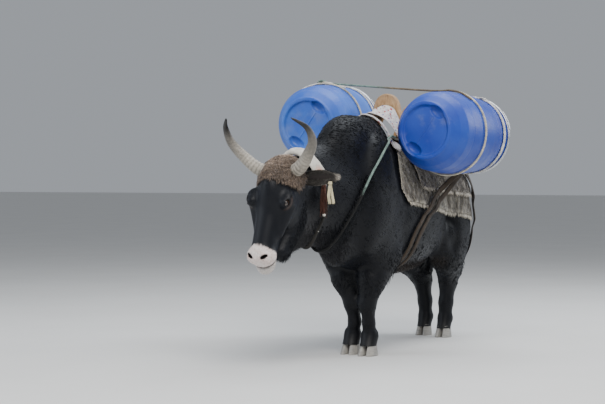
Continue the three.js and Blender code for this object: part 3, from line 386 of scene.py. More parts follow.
# Meshing a form: blocks of a fine grid are evaluated only near the surface, then joined into quads
def sampled(form, xs, ys, zs, block=14):
    values = np.empty((len(xs), len(ys), len(zs)), np.float32)
    for i in range(0, len(xs), block):
        for j in range(0, len(ys), block):
            for k in range(0, len(zs), block):
                bx, by, bz = xs[i : i + block], ys[j : j + block], zs[k : k + block]
                centre = [np.array([(b[0] + b[-1]) / 2]) for b in (bx, by, bz)]
                radius = 0.5 * math.dist((bx[0], by[0], bz[0]), (bx[-1], by[-1], bz[-1]))
                middle = float(form(*centre)[0])
                part = (slice(i, i + block), slice(j, j + block), slice(k, k + block))
                if abs(middle) > 2.0 * radius + 30:
                    values[part] = middle
                else:
                    gx, gy, gz = np.meshgrid(bx, by, bz, indexing="ij")
                    values[part] = form(gx, gy, gz)
    return values


def surface_nets(values, xs, ys, zs):
    axes = [np.asarray(xs, float), np.asarray(ys, float), np.asarray(zs, float)]
    inside = values < 0
    shape = np.array(values.shape)
    cells = shape - 1
    total = int(np.prod(cells))
    sums = np.zeros((total, 3))
    counts = np.zeros(total)
    quads = []
    for axis in range(3):
        low = [slice(None)] * 3
        high = [slice(None)] * 3
        low[axis] = slice(0, -1)
        high[axis] = slice(1, None)
        crossing = inside[tuple(low)] != inside[tuple(high)]
        index = np.argwhere(crossing)
        u, v = (axis + 1) % 3, (axis + 2) % 3
        keep = (index[:, u] > 0) & (index[:, v] > 0) & (index[:, u] < cells[u]) & (index[:, v] < cells[v])
        index = index[keep]
        ahead = index.copy()
        ahead[:, axis] += 1
        a = values[tuple(index.T)].astype(float)
        b = values[tuple(ahead.T)].astype(float)
        t = a / (a - b)
        point = np.stack([axes[c][index[:, c]] for c in range(3)], 1)
        point[:, axis] += t * (axes[axis][ahead[:, axis]] - axes[axis][index[:, axis]])
        corner = []
        for du, dv in ((-1, -1), (0, -1), (0, 0), (-1, 0)):
            cell = index.copy()
            cell[:, u] += du
            cell[:, v] += dv
            flat = (cell[:, 0] * cells[1] + cell[:, 1]) * cells[2] + cell[:, 2]
            for c in range(3):
                sums[:, c] += np.bincount(flat, point[:, c], total)
            counts += np.bincount(flat, minlength=total)
            corner.append(flat)
        quad = np.stack(corner, 1)
        turn = a > 0
        quad[turn] = quad[turn][:, ::-1]
        quads.append(quad)
    used = np.flatnonzero(counts)
    vertices = sums[used] / counts[used, None]
    lookup = np.full(total, -1)
    lookup[used] = np.arange(len(used))
    return vertices, lookup[np.concatenate(quads)]


def slope(form, p, e=1.5):
    x, y, z = p[:, 0], p[:, 1], p[:, 2]
    g = np.stack(
        [
            form(x + e, y, z) - form(x - e, y, z),
            form(x, y + e, z) - form(x, y - e, z),
            form(x, y, z + e) - form(x, y, z - e),
        ],
        1,
    )
    size = np.maximum(np.linalg.norm(g, axis=1), 1e-9)
    return g / size[:, None], size / (2 * e)


def value_at(form, p):
    return form(p[:, 0], p[:, 1], p[:, 2])


LEAST_SLOPE, STEP_SHARE, SKIN_STEP = 0.4, 0.9, 14


def laid(form, p, lift, rounds=7, longest=math.inf):
    """Points moved along the form's slope until they lie the lift above it, by no more than longest at a time."""
    p = np.array(p, float)
    for _ in range(rounds):
        normal, steep = slope(form, p)
        step = (value_at(form, p) - lift) / np.maximum(steep, LEAST_SLOPE)
        p -= normal * (np.clip(step, -longest, longest) * STEP_SHARE)[:, None]
    return p


def settled(p, rounds=3):
    """Points moved onto the skin."""
    return laid(skin_form, p, 0.0, rounds, SKIN_STEP)


def metres(points):
    return np.asarray(points, float) / 1000 + OFFSET


def mesh_object(name, points, faces, colour=None, uv=None, attributes=None):
    """A mesh piece from points in the working frame, in millimetres. Faces are arrays of 3 or 4 columns."""
    faces = [np.asarray(f, np.int32) for f in (faces if isinstance(faces, list) else [faces]) if len(f)]
    mesh = bpy.data.meshes.new(name)
    mesh.vertices.add(len(points))
    mesh.vertices.foreach_set("co", metres(points).astype(np.float32).ravel())
    loops = np.concatenate([f.ravel() for f in faces])
    sizes = np.concatenate([np.full(len(f), f.shape[1]) for f in faces])
    mesh.loops.add(len(loops))
    mesh.loops.foreach_set("vertex_index", loops)
    mesh.polygons.add(len(sizes))
    mesh.polygons.foreach_set("loop_start", (np.cumsum(sizes) - sizes).astype(np.int32))
    mesh.polygons.foreach_set("loop_total", sizes.astype(np.int32))
    mesh.update(calc_edges=True)
    mesh.polygons.foreach_set("use_smooth", np.full(len(sizes), True))
    if colour is not None:
        layer = mesh.attributes.new("tint", "FLOAT_COLOR", "POINT")
        rgba = np.ones((len(points), 4), np.float32)
        rgba[:, :3] = colour
        layer.data.foreach_set("color", rgba.ravel())
    for key, value in (attributes or {}).items():
        layer = mesh.attributes.new(key, "FLOAT", "POINT")
        layer.data.foreach_set("value", np.asarray(value, np.float32))
    if uv is not None:
        layer = mesh.uv_layers.new(name="OFBake")
        layer.data.foreach_set("uv", uv[loops].astype(np.float32).ravel())
    piece = bpy.data.objects.new(name, mesh)
    bpy.context.scene.collection.objects.link(piece)
    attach(piece, "root")
    return piece


def spaced(low, high, fine_low, fine_high, coarse, fine):
    """Grid positions from low to high, closer together between fine_low and fine_high."""
    left = np.arange(fine_low, low, -coarse)[:0:-1] if fine_low > low else np.array([])
    middle = np.arange(fine_low, fine_high, fine)
    right = np.arange(middle[-1] + coarse, high + coarse, coarse)
    return np.concatenate([left, middle, right])


def flesh_skin():
    coarse, fine = finer((10.0, 5.6))
    xs = spaced(-262, 262, -150, 45, coarse, fine)
    ys = spaced(-1140, 1010, -1130, -830, coarse, fine)
    zs = spaced(-14 + CORONET, 1232, 470, 1010, coarse, fine)
    values = sampled(skin_form, xs, ys, zs)
    points, quads = surface_nets(values, xs, ys, zs)
    return settled(points), quads


# Colours of the coat by place, in linear light
COAT = np.array([0.0042, 0.0046, 0.0062])
FACE = np.array([0.0058, 0.0066, 0.0092])
MUZZLE = np.array([0.66, 0.6, 0.57])
MUZZLE_PINK = np.array([0.6, 0.43, 0.38])
LIP = np.array([0.5, 0.46, 0.43])
# Painted shade, for the inside of the nostrils, the skin round them and the slit of the closed mouth
NOSTRIL_MOUTH_SHADE = np.array([0.018, 0.014, 0.014])
POLL_HAIR = np.array([0.17, 0.132, 0.103])
THROAT = np.array([0.034, 0.033, 0.035])
BELLY = np.array([0.028, 0.02, 0.015])
BROW = np.array([0.13, 0.085, 0.07])
FEET = np.array([0.01, 0.01, 0.011])


def mixed(base, other, share):
    return base + (other - base) * share[:, None]


def wobble(p, scale, seed):
    """Smooth noise from a few sines with seeded directions, from about -1 to 1."""
    draw = np.random.default_rng(seed)
    total = np.zeros(len(p))
    for octave in range(5):
        direction = draw.normal(size=3)
        direction *= (1.0 + 0.45 * octave) / (scale * np.linalg.norm(direction))
        total += np.sin(p @ direction * 2 * math.pi + draw.uniform(0, 2 * math.pi))
    return total / 3.2


def on_head(p):
    x, y, z = p.T
    hx, hy, hz = to_head(x, y, z)
    forehead = smoothstep(-62, -44, hy) * smoothstep(-46, -20, hz)
    return np.maximum(smoothstep(12, -14, HEAD_LOCAL(hx, hy, hz) - TRUNK(x, y, z)), forehead)


def coat_colour(p):
    x, y, z = p.T
    hx, hy, hz = to_head(x, y, z)
    head = on_head(p)
    uneven = wobble(p, 90, 1)
    fine = wobble(p, 22, 2)
    colour = np.tile(COAT, (len(p), 1))
    colour *= (1 + 0.16 * uneven)[:, None]
    below = smoothstep(640, 470, z) * smoothstep(-880, -760, y) * smoothstep(-430, -560, y)
    throat = np.clip(below + smoothstep(760, 640, z) * smoothstep(-600, -760, y), 0, 1)
    colour = mixed(colour, THROAT, throat * (1 - head) * (0.75 + 0.25 * fine))
    belly = smoothstep(470, 425, z + 10 * fine) * smoothstep(-120, -40, y) * smoothstep(620, 520, y)
    colour = mixed(colour, BELLY, belly * 0.8)
    colour = mixed(colour, FACE, head)
    poll = smoothstep(140, 100, hz + 14 * fine) * smoothstep(-72, -40, hy) * head
    colour = mixed(colour, POLL_HAIR, np.clip(poll * (0.85 + 0.3 * fine), 0, 1))
    muzzle = smoothstep(420, 431, muzzle_level(hx, hy, hz) + 3.5 * fine) * head
    pink = np.clip(0.35 + 0.45 * wobble(p, 60, 3) + 0.3 * smoothstep(450, 500, hz), 0, 1)
    white = MUZZLE * (1 + 0.05 * fine)[:, None]
    white = mixed(white, MUZZLE_PINK, pink * 0.6)
    white = mixed(white, LIP, smoothstep(2, -6, mouth_gap(hy, hz)))
    colour = mixed(colour, white, muzzle)
    # Painted shade: the nostril's hollow is painted near black, and the skin round it darker
    hole = nostril_form(hx, hy, hz)
    colour = mixed(colour, NOSTRIL_MOUTH_SHADE, smoothstep(4.5, 0.5, hole) * head)
    nostril_shade = smoothstep(20, 4, hole) * smoothstep(-20, -38, hy) * head
    colour = mixed(colour, NOSTRIL_MOUTH_SHADE * 3, nostril_shade * 0.55)
    # Painted shade along the slit of the closed mouth
    mouth = np.exp(-((mouth_gap(hy, hz) / 4.4) ** 2)) * smoothstep(396, 430, hz) * head
    colour = mixed(colour, NOSTRIL_MOUTH_SHADE, np.clip(mouth * 1.15, 0, 1))
    long, high, out = eye_place(hx, hy, hz)
    ring = np.sqrt((long / 1.4) ** 2 + high**2)
    near_eye = smoothstep(-20, 5, out) * head
    brow = smoothstep(30, 22, ring) * smoothstep(12, 19, ring) * smoothstep(4, 12, high)
    colour = mixed(colour, BROW, near_eye * brow * 0.3)
    colour = mixed(colour, np.array([0.008, 0.007, 0.007]), near_eye * smoothstep(15, 11, ring))
    feet = smoothstep(105, 60, z)
    colour = mixed(colour, FEET, feet)
    return np.clip(colour, 0.002, 0.9)


# The way the coat lies
def coat_lie(p, normal):
    x, y, z = p.T
    lie = np.zeros_like(p)
    lie[:, 1] = 0.8
    lie[:, 2] = -0.55
    low = smoothstep(620, 450, z) * smoothstep(-560, -450, y)
    lie[:, 1] *= 1 - low
    lie[:, 2] -= 0.6 * low
    lie[:, 0] += 0.12 * np.sign(x)
    underneath = smoothstep(-0.3, -0.8, normal[:, 2]) * smoothstep(380, 480, z)
    lie[:, 1] += 0.8 * underneath
    lie += 0.22 * np.stack([wobble(p, 260, 11), wobble(p, 240, 12), wobble(p, 250, 13)], 1)
    hx, _, hz = to_head(x, y, z)
    face = HEAD_DOWN + HEAD_SIDE * (np.sign(hx) * 0.35 * smoothstep(330, 120, hz))[:, None]
    head = on_head(p)[:, None]
    return brushed(lie * (1 - head) + face * head, normal)


# An unwrap of the skin's own shape: the trunk, the head and each leg have their own places on the map
def unwrap(p):
    x, y, z = p.T
    uv = np.empty((len(p), 2))
    around = np.arctan2(x - neck_shift(y), z - 770) / (2 * math.pi) + 0.5
    uv[:, 0] = 0.02 + 0.56 * around
    uv[:, 1] = 0.02 + 0.96 * np.clip((y + 960) / 1990, 0, 1)
    hx, hy, hz = to_head(x, y, z)
    head = on_head(p) > 0.5
    turn = np.arctan2(hx, hy + 80) / (2 * math.pi) + 0.5
    uv[head] = np.stack([0.61 + 0.37 * turn, 0.53 + 0.45 * np.clip((hz + 60) / 620, 0, 1)], 1)[head]
    fore = (z < 480) & (y < 200) & ~head
    hind = (z < 480) & (y > 560) & ~head
    for i, (mask, sign, cy) in enumerate(
        [(fore, 1, -205), (fore, -1, -205), (hind, 1, 775), (hind, -1, 815)]
    ):
        here = mask & (np.sign(x) == sign)
        angle = np.arctan2(y - cy, x - sign * 70) / (2 * math.pi) + 0.5
        uv[here] = np.stack([0.61 + 0.095 * i + 0.085 * angle, 0.02 + 0.48 * np.clip(z / 480, 0, 1)], 1)[here]
    return uv


# Tufts: closed, tapered, bending locks of three sides, many to a piece
TUFT_PIECE_FACES = 190000


def tufts(name, roots, normals, lies, length, width, lift, settle, colour, material, rings=1, thick=0.45,
          droop=0.0, curl=0.0, sink=1.6, seed=3):
    """roots, normals and lies are arrays; length and width are in millimetres; lift and settle are the angles
    above the skin, in degrees, at the root and at the tip."""
    count = len(roots)
    draw = np.random.default_rng(seed)
    length = np.broadcast_to(length, count)
    width = np.broadcast_to(width, count)
    lift = np.radians(np.broadcast_to(lift, count))
    settle = np.radians(np.broadcast_to(settle, count))
    side = np.cross(normals, lies)
    position = roots - normals * sink
    loops = []
    segments = rings + 1
    bend = draw.normal(size=count) * curl
    for k in range(segments):
        t = k / segments
        angle = lift + (settle - lift) * (k / max(segments - 1, 1))
        heading = lies * np.cos(angle)[:, None] + normals * np.sin(angle)[:, None]
        heading = heading + side * (bend * (t + 0.3))[:, None]
        heading[:, 2] -= droop * (t + 0.25)
        heading = unit(heading)
        across = brushed(side, heading)
        up = np.cross(heading, across)
        taper = (1 - 0.62 * t**1.5) if k else 0.9
        w = (width * taper / 2)[:, None]
        loops.append(np.stack([
            position + across * w - up * w * thick * 0.4,
            position + up * w * thick * 1.2,
            position - across * w - up * w * thick * 0.4,
        ], 1))
        position = position + heading * (length / segments)[:, None]
    loops.append(position[:, None, :])
    points = np.concatenate(loops, 1)
    per = points.shape[1]
    faces = [(0, 2, 1)]
    for k in range(rings):
        a, b = 3 * k, 3 * k + 3
        for j in range(3):
            n = (j + 1) % 3
            faces += [(a + j, a + n, b + n), (a + j, b + n, b + j)]
    tip = per - 1
    last = 3 * rings
    faces += [(last + j, last + (j + 1) % 3, tip) for j in range(3)]
    faces = np.array(faces)
    patch = draw.uniform(-0.0015, 0.0015, (count, per, 2))
    uv = np.clip(unwrap(roots)[:, None, :] + patch, 0.001, 0.999)
    shade = np.repeat(colour[:, None, :], per, 1).copy()
    # Painted shade and painted light: the ring at each root is made darker, as if shaded deep in the coat, and the
    # tip is made lighter
    shade[:, :3] *= 0.72
    shade[:, -1] *= 1.15
    made = []
    chunk = TUFT_PIECE_FACES // len(faces)
    for number, start in enumerate(range(0, count, chunk)):
        stop = min(start + chunk, count)
        these = points[start:stop].reshape(-1, 3)
        index = (faces[None] + per * np.arange(stop - start)[:, None, None]).reshape(-1, 3)
        piece = mesh_object(f"{name}_{number + 1}", these, index, colour=shade[start:stop].reshape(-1, 3),
                            uv=uv[start:stop].reshape(-1, 2))
        piece.data.materials.append(material)
        made.append(piece)
    return made


# Materials
class Nodes:
    """Short helpers for building a material's nodes."""

    def __init__(self, name, roughness=0.5, specular=0.5, metallic=0.0, sheen=0.0, sheen_tint=None, coat=0.0):
        self.material = bpy.data.materials.new(name)
        self.material.use_nodes = True
        self.tree = self.material.node_tree
        self.shader = self.tree.nodes["Principled BSDF"]
        self.shader.inputs["Roughness"].default_value = roughness
        self.shader.inputs["Specular IOR Level"].default_value = specular
        self.shader.inputs["Metallic"].default_value = metallic
        self.shader.inputs["Sheen Weight"].default_value = sheen
        self.shader.inputs["Sheen Roughness"].default_value = 0.4
        if sheen_tint is not None:
            self.shader.inputs["Sheen Tint"].default_value = (*sheen_tint, 1)
        self.shader.inputs["Coat Weight"].default_value = coat

    def new(self, kind, **values):
        node = self.tree.nodes.new(kind)
        for key, value in values.items():
            if hasattr(node, key):
                setattr(node, key, value)
            else:
                node.inputs[key.replace("_", " ")].default_value = value
        return node

    def link(self, a, b):
        self.tree.links.new(a, b)

    def place(self, scale=(1, 1, 1), turn=(0, 0, 0)):
        where = self.new("ShaderNodeTexCoord")
        mapping = self.new("ShaderNodeMapping")
        mapping.inputs["Scale"].default_value = scale
        mapping.inputs["Rotation"].default_value = turn
        self.link(where.outputs["Object"], mapping.inputs["Vector"])
        return mapping.outputs["Vector"]

    def attribute(self, name):
        return self.new("ShaderNodeAttribute", attribute_name=name)

    def noise(self, vector, scale, detail=4.0, roughness=0.55):
        node = self.new("ShaderNodeTexNoise")
        node.inputs["Scale"].default_value = scale
        node.inputs["Detail"].default_value = detail
        node.inputs["Roughness"].default_value = roughness
        self.link(vector, node.inputs["Vector"])
        return node.outputs["Fac"]

    def ramp(self, fac, *stops):
        node = self.new("ShaderNodeValToRGB")
        while len(node.color_ramp.elements) < len(stops):
            node.color_ramp.elements.new(0.5)
        for element, (at, colour) in zip(node.color_ramp.elements, stops):
            element.position = at
            element.color = (*colour, 1) if hasattr(colour, "__len__") else (colour, colour, colour, 1)
        self.link(fac, node.inputs["Fac"])
        return node.outputs["Color"]

    def math(self, operation, a, b=None, clamp=False):
        node = self.new("ShaderNodeMath", operation=operation, use_clamp=clamp)
        for socket, value in zip(node.inputs, (a, b)):
            if value is None:
                continue
            if isinstance(value, (int, float)):
                socket.default_value = value
            else:
                self.link(value, socket)
        return node.outputs["Value"]

    def mix(self, fac, a, b, blend="MIX"):
        node = self.new("ShaderNodeMix", data_type="RGBA", blend_type=blend)
        for socket, value in ((node.inputs[0], fac), (node.inputs[6], a), (node.inputs[7], b)):
            if isinstance(value, (int, float)):
                socket.default_value = value
            elif isinstance(value, tuple):
                socket.default_value = (*value, 1)
            else:
                self.link(value, socket)
        return node.outputs[2]

    def times(self, a, b):
        return self.mix(1.0, a, b, "MULTIPLY")

    def tint(self):
        """The colour that the points carry."""
        return self.attribute("tint").outputs["Color"]

    def colour(self, socket):
        self.link(socket, self.shader.inputs["Base Color"])

    def bump(self, height, strength, distance=0.002):
        node = self.new("ShaderNodeBump")
        node.inputs["Strength"].default_value = strength
        node.inputs["Distance"].default_value = distance
        self.link(height, node.inputs["Height"])
        self.link(node.outputs["Normal"], self.shader.inputs["Normal"])

    def rough(self, fac, low, high):
        node = self.new("ShaderNodeMapRange")
        node.inputs["To Min"].default_value = low
        node.inputs["To Max"].default_value = high
        self.link(fac, node.inputs["Value"])
        self.link(node.outputs["Result"], self.shader.inputs["Roughness"])


def skin_material():
    m = Nodes("coat_skin", roughness=0.45, specular=0.18, sheen=0.03, sheen_tint=(0.6, 0.7, 1.0))
    hair = m.noise(m.place((520, 60, 120), (0.5, 0, 0)), 1.0, 3)
    hair_down = m.noise(m.place((420, 420, 50)), 1.0, 3)
    both = m.mix(m.attribute("leg").outputs["Fac"], hair, hair_down)
    m.colour(m.times(m.tint(), m.ramp(both, (0.25, 0.72), (0.75, 1.35))))
    m.bump(both, 0.35, 0.0015)
    return m.material


def hair_material(name, roughness=0.38, sheen=0.015):
    m = Nodes(name, roughness=roughness, specular=0.17, sheen=sheen, sheen_tint=(0.7, 0.78, 1.0))
    m.colour(m.times(m.tint(), m.ramp(m.noise(m.place(), 9.0, 3), (0.3, 0.8), (0.7, 1.25))))
    return m.material


# Floor and light
def make_stage():
    size = 60
    mesh = bpy.data.meshes.new("floor")
    corners = [(-size, -size, 0), (size, -size, 0), (size, size, 0), (-size, size, 0)]
    mesh.from_pydata(corners, [], [(0, 1, 2, 3)])
    floor = bpy.data.objects.new("floor", mesh)
    bpy.context.scene.collection.objects.link(floor)
    m = Nodes("floor", roughness=0.85, specular=0.15)
    m.colour(m.ramp(m.noise(m.place(), 1.5), (0.3, (0.66, 0.655, 0.64)), (0.7, (0.69, 0.685, 0.67))))
    mesh.materials.append(m.material)
    world = bpy.data.worlds.new("world")
    world.use_nodes = True
    world.node_tree.nodes["Background"].inputs["Color"].default_value = (0.83, 0.88, 0.95, 1)
    world.node_tree.nodes["Background"].inputs["Strength"].default_value = 0.42
    bpy.context.scene.world = world
    centre = Vector((0, 0, 0.7))
    lights = [
        ("key", (2.2, -3.6, 4.6), 3.2, 330, (1.0, 0.98, 0.95)),
        ("fill", (-4.2, -3.4, 2.6), 3.6, 120, (0.86, 0.92, 1.0)),
        ("top", (0.5, 1.5, 5.2), 4.0, 230, (0.9, 0.95, 1.0)),
        ("rim", (3.6, 3.6, 2.8), 2.4, 120, (0.9, 0.95, 1.0)),
    ]
    for name, at, width, power, colour in lights:
        data = bpy.data.lights.new(name, "AREA")
        data.size = width
        data.energy = power
        data.color = colour
        light = bpy.data.objects.new(name, data)
        bpy.context.scene.collection.objects.link(light)
        light.location = at
        light.rotation_euler = (centre - Vector(at)).to_track_quat("-Z", "Y").to_euler()


make_stage()


# The flesh: one skin for all of it
FLESH = ["torso", "neck", "head", "tail_dock"]
FLESH += [f"leg_{name}_{part}" for name in LEGS for part in ("upper", "lower")]


def build_skin():
    points, quads = flesh_skin()
    _, y, z = points.T
    leg = smoothstep(600, 430, z) * smoothstep(-620, -520, y)
    skin = mesh_object("skin", points, quads, colour=coat_colour(points), attributes={"leg": leg})
    skin.data.materials.append(skin_material())
    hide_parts(*FLESH)
    return points, quads


SKIN_POINTS, SKIN_QUADS = build_skin()


def scattered(weight, count, seed):
    """Points spread over the skin at random, where weight(points) is high, with their slopes."""
    draw = np.random.default_rng(seed)
    corners = SKIN_POINTS[SKIN_QUADS]
    middle = corners.mean(1)
    one, other = corners[:, 2] - corners[:, 0], corners[:, 3] - corners[:, 1]
    area = 0.5 * np.linalg.norm(np.cross(one, other), axis=1)
    share = area * weight(middle)
    chosen = draw.choice(len(share), count, p=share / share.sum())
    u, v = draw.random((2, count, 1))
    c = corners[chosen]
    at = c[:, 0] * (1 - u) * (1 - v) + c[:, 1] * u * (1 - v) + c[:, 2] * u * v + c[:, 3] * (1 - u) * v
    at = settled(at, 1)
    return at, slope(skin_form, at)[0]


HAIR = hair_material("coat_hair")
WOOLLY = hair_material("woolly_hair", roughness=0.65, sheen=0.15)


def clear_of_face(p):
    """Nothing grows on the muzzle, in the nostrils, on the lids or over the coronets."""
    x, y, z = p.T
    hx, hy, hz = to_head(x, y, z)
    head = on_head(p)
    long, high, out = eye_place(hx, hy, hz)
    ring = np.sqrt((long / 1.5) ** 2 + high**2)
    muzzle = smoothstep(414, 424, muzzle_level(hx, hy, hz)) * head
    eyes = smoothstep(22, 17, ring) * smoothstep(-20, -5, out) * head
    return (1 - np.clip(muzzle + eyes, 0, 1)) * smoothstep(56, 64, z)


def body_hair(p):
    return (1 - on_head(p)) * clear_of_face(p)


def face_hair(p):
    return on_head(p) * clear_of_face(p)


def poll_hair(p):
    _, hy, hz = to_head(*p.T)
    return smoothstep(135, 95, hz) * smoothstep(-80, -50, hy) * on_head(p)


def throat_hair(p):
    _, y, z = p.T
    under = smoothstep(700, 560, z) * smoothstep(-480, -560, y)
    jaw = smoothstep(-120, -170, to_head(*p.T)[1]) * on_head(p) * 0.5
    return (under * (1 - on_head(p)) + jaw) * clear_of_face(p)


def belly_hair(p):
    _, y, z = p.T
    line = smoothstep(470, 425, z) * smoothstep(-140, -60, y) * smoothstep(640, 560, y)
    forearm = smoothstep(560, 480, z) * smoothstep(330, 400, z)
    forearm = forearm * smoothstep(-215, -170, y) * smoothstep(-60, -110, y)
    thigh = smoothstep(640, 560, z) * smoothstep(360, 420, z) * smoothstep(820, 880, y)
    return line + 0.5 * forearm + 0.4 * thigh


# Longer hair on the throat, the neck's underside and the belly line
LONG_HAIR = {
    "throat_hair": {"where": throat_hair, "count": 5000, "seeds": (24, 44), "lie": (0.0, 0.35, -1.0),
                    "stray": 0.12, "shade": (0.6, 1.7), "length": (18, 36), "lift": 22, "settle": 6, "droop": 0.25},
    "belly_hair": {"where": belly_hair, "count": 5200, "seeds": (25, 45), "lie": (0.0, 0.3, -1.0),
                   "stray": 0.15, "shade": (0.7, 1.8), "length": (14, 34), "lift": 35, "settle": 25, "droop": 0.9},
}


QUICK_WIDER = finer(1)


def grow_coat():
    many = finer(1.0)

    count = int(42000 * many)
    at, normal = scattered(body_hair, count, 21)
    _, y, z = at.T
    long = 15 + 4 * wobble(at, 120, 31) + 3 * rng.normal(size=count)
    long += 7 * smoothstep(980, 1100, z) * smoothstep(-20, -120, y)
    long = np.clip(np.where(z < 110, 9, np.where(z < 300, 10, long)), 6, 34)
    wide = np.where(z < 300, 3.1, 4.3) * QUICK_WIDER
    colour = coat_colour(at) * rng.uniform(0.65, 1.4, (count, 1))
    tufts("coat_body", at, normal, coat_lie(at, normal), long, wide, 13, 2, colour, HAIR, curl=0.12, seed=41)

    count = int(11000 * many)
    at, normal = scattered(face_hair, count, 22)
    _, hy, hz = to_head(*at.T)
    long = 7 + 3 * smoothstep(250, 120, hz) + 6 * smoothstep(-90, -150, hy)
    colour = coat_colour(at) * rng.uniform(0.65, 1.4, (count, 1))
    tufts("coat_face", at, normal, coat_lie(at, normal), long, 2.2 * QUICK_WIDER, 16, 3, colour, HAIR, curl=0.15,
          seed=42)

    # The woolly poll, brushed forward and out between the horns
    count = int(5600 * many)
    at, normal = scattered(poll_hair, count, 23)
    hx, _, hz = to_head(*at.T)
    swirl = rng.normal(size=(count, 3)) * 0.5
    lie = HEAD_DOWN * (0.35 + 0.6 * smoothstep(10, 100, hz))[:, None] + HEAD_SIDE * (hx / 60)[:, None] + swirl
    long = rng.uniform(26, 50, count) * (0.55 + 0.45 * smoothstep(150, 80, hz))
    light = 1 + 0.9 * smoothstep(70, 20, hz) * smoothstep(60, 10, np.abs(hx + 20))
    colour = POLL_HAIR * (light * rng.uniform(0.45, 1.6, count))[:, None] * np.array([1, 0.97, 0.94])
    tufts("poll_tuft", at, normal, brushed(lie, normal), long, 4.1 * finer(1), 52, -10, colour, WOOLLY,
          rings=2, curl=0.7, seed=43, sink=3)

    for name, hair in LONG_HAIR.items():
        count = int(hair["count"] * many)
        at, normal = scattered(hair["where"], count, hair["seeds"][0])
        lie = np.tile(hair["lie"], (count, 1)) + rng.normal(size=(count, 3)) * hair["stray"]
        colour = coat_colour(at) * rng.uniform(*hair["shade"], (count, 1))
        tufts(name, at, normal, brushed(lie, normal), rng.uniform(*hair["length"], count), 3.0 * finer(1),
              hair["lift"], hair["settle"], colour, HAIR, curl=0.2, droop=hair["droop"], seed=hair["seeds"][1])


grow_coat()


# Lines, tubes, ropes and straps
def spline(points, step, closed=False):
    """An even run of points along a centripetal curve through the given ones."""
    p = np.asarray(points, float)
    if closed:
        p = np.concatenate([p[-1:], p, p[:2]])
    else:
        p = np.concatenate([2 * p[:1] - p[1:2], p, 2 * p[-1:] - p[-2:-1]])
    dense = []
    for a, b, c, d in zip(p, p[1:], p[2:], p[3:]):
        t0 = 0.0
        t1 = t0 + max(np.linalg.norm(b - a), 1e-6) ** 0.5
        t2 = t1 + max(np.linalg.norm(c - b), 1e-6) ** 0.5
        t3 = t2 + max(np.linalg.norm(d - c), 1e-6) ** 0.5
        t = np.linspace(t1, t2, 24, endpoint=False)[:, None]
        a1 = (t1 - t) / (t1 - t0) * a + (t - t0) / (t1 - t0) * b
        a2 = (t2 - t) / (t2 - t1) * b + (t - t1) / (t2 - t1) * c
        a3 = (t3 - t) / (t3 - t2) * c + (t - t2) / (t3 - t2) * d
        b1 = (t2 - t) / (t2 - t0) * a1 + (t - t0) / (t2 - t0) * a2
        b2 = (t3 - t) / (t3 - t1) * a2 + (t - t1) / (t3 - t1) * a3
        dense.append((t2 - t) / (t2 - t1) * b1 + (t - t1) / (t2 - t1) * b2)
    dense = np.concatenate(dense + [p[-2:-1]])
    return evened(dense, step, closed)


def distances(line):
    return np.concatenate([[0], np.cumsum(np.linalg.norm(np.diff(line, axis=0), axis=1))])


def evened(line, step, closed=False):
    far = distances(line)
    count = max(int(round(far[-1] / step)), 2)
    at = np.linspace(0, far[-1], count + 1)
    if closed:
        at = at[:-1]
    return np.stack([np.interp(at, far, line[:, k]) for k in range(3)], 1)


def run_of(line, closed=False):
    """Headings and lengths along a line."""
    if closed:
        ahead = np.roll(line, -1, 0) - np.roll(line, 1, 0)
    else:
        ahead = np.gradient(line, axis=0)
    return unit(ahead), distances(line)


def turned_frames(line, closed=False):
    heading, far = run_of(line, closed)
    side = np.zeros_like(line)
    guess = np.array([0.0, 0.0, 1.0])
    if abs(guess @ heading[0]) > 0.95:
        guess = np.array([1.0, 0.0, 0.0])
    current = unit(guess - heading[0] * (guess @ heading[0]))
    for i, h in enumerate(heading):
        current = unit(current - h * (current @ h))
        side[i] = current
    return side, np.cross(heading, side), far


def grid_faces(rows, cols, wrap_rows=False, wrap_cols=True):
    """Quads between rows of a grid of points; the points of a row may close on themselves."""
    r = np.arange(rows if wrap_rows else rows - 1)
    c = np.arange(cols if wrap_cols else cols - 1)
    r, c = np.meshgrid(r, c, indexing="ij")
    r, c = r.ravel(), c.ravel()
    rn, cn = (r + 1) % rows, (c + 1) % cols
    return np.stack([r * cols + c, r * cols + cn, rn * cols + cn, rn * cols + c], 1)


def outward(points, faces):
    """The faces, turned round if the closed mesh is inside out."""
    total = 0.0
    for f in faces:
        a = points[f[:, 0]]
        for k in range(1, f.shape[1] - 1):
            total += np.einsum("ij,ij->", a, np.cross(points[f[:, k]], points[f[:, k + 1]]))
    return faces if total > 0 else [f[:, ::-1] for f in faces]


def capped(points, rows, cols, quads):
    """Close both ends of a tube of rows of points with fans."""
    centres = np.stack([points[:cols].mean(0), points[-cols:].mean(0)])
    n = len(points)
    k = np.arange(cols)
    first = np.stack([np.full(cols, n), (k + 1) % cols, k], 1)
    last = np.stack([np.full(cols, n + 1), (rows - 1) * cols + k, (rows - 1) * cols + (k + 1) % cols], 1)
    points = np.concatenate([points, centres])
    return points, outward(points, [quads, np.concatenate([first, last])])


STRAND_DEPTH = 0.13


def tube(line, radius, sides=10, closed=False, lay=None):
    """A tube round a line. With a lay, its surface is three strands twisted with that pitch."""
    side, other, far = turned_frames(line, closed)
    angle = circle(sides)
    radius = np.broadcast_to(np.asarray(radius, float), len(line))
    r = np.repeat(radius[:, None], sides, 1)
    if lay:
        turns = max(round(far[-1] / lay), 1) / far[-1] if closed else 1 / lay
        twist = np.cos(3 * (angle[None] - far[:, None] * turns * 2 * math.pi))
        r = r * (1 - STRAND_DEPTH + STRAND_DEPTH * twist)
    points = (
        line[:, None]
        + side[:, None] * (np.cos(angle)[None] * r)[..., None]
        + other[:, None] * (np.sin(angle)[None] * r)[..., None]
    ).reshape(-1, 3)
    quads = grid_faces(len(line), sides, closed)
    along = np.repeat(far, sides)
    if closed:
        return points, outward(points, [quads]), along
    points, faces = capped(points, len(line), sides, quads)
    return points, faces, np.concatenate([along, [0, far[-1]]])


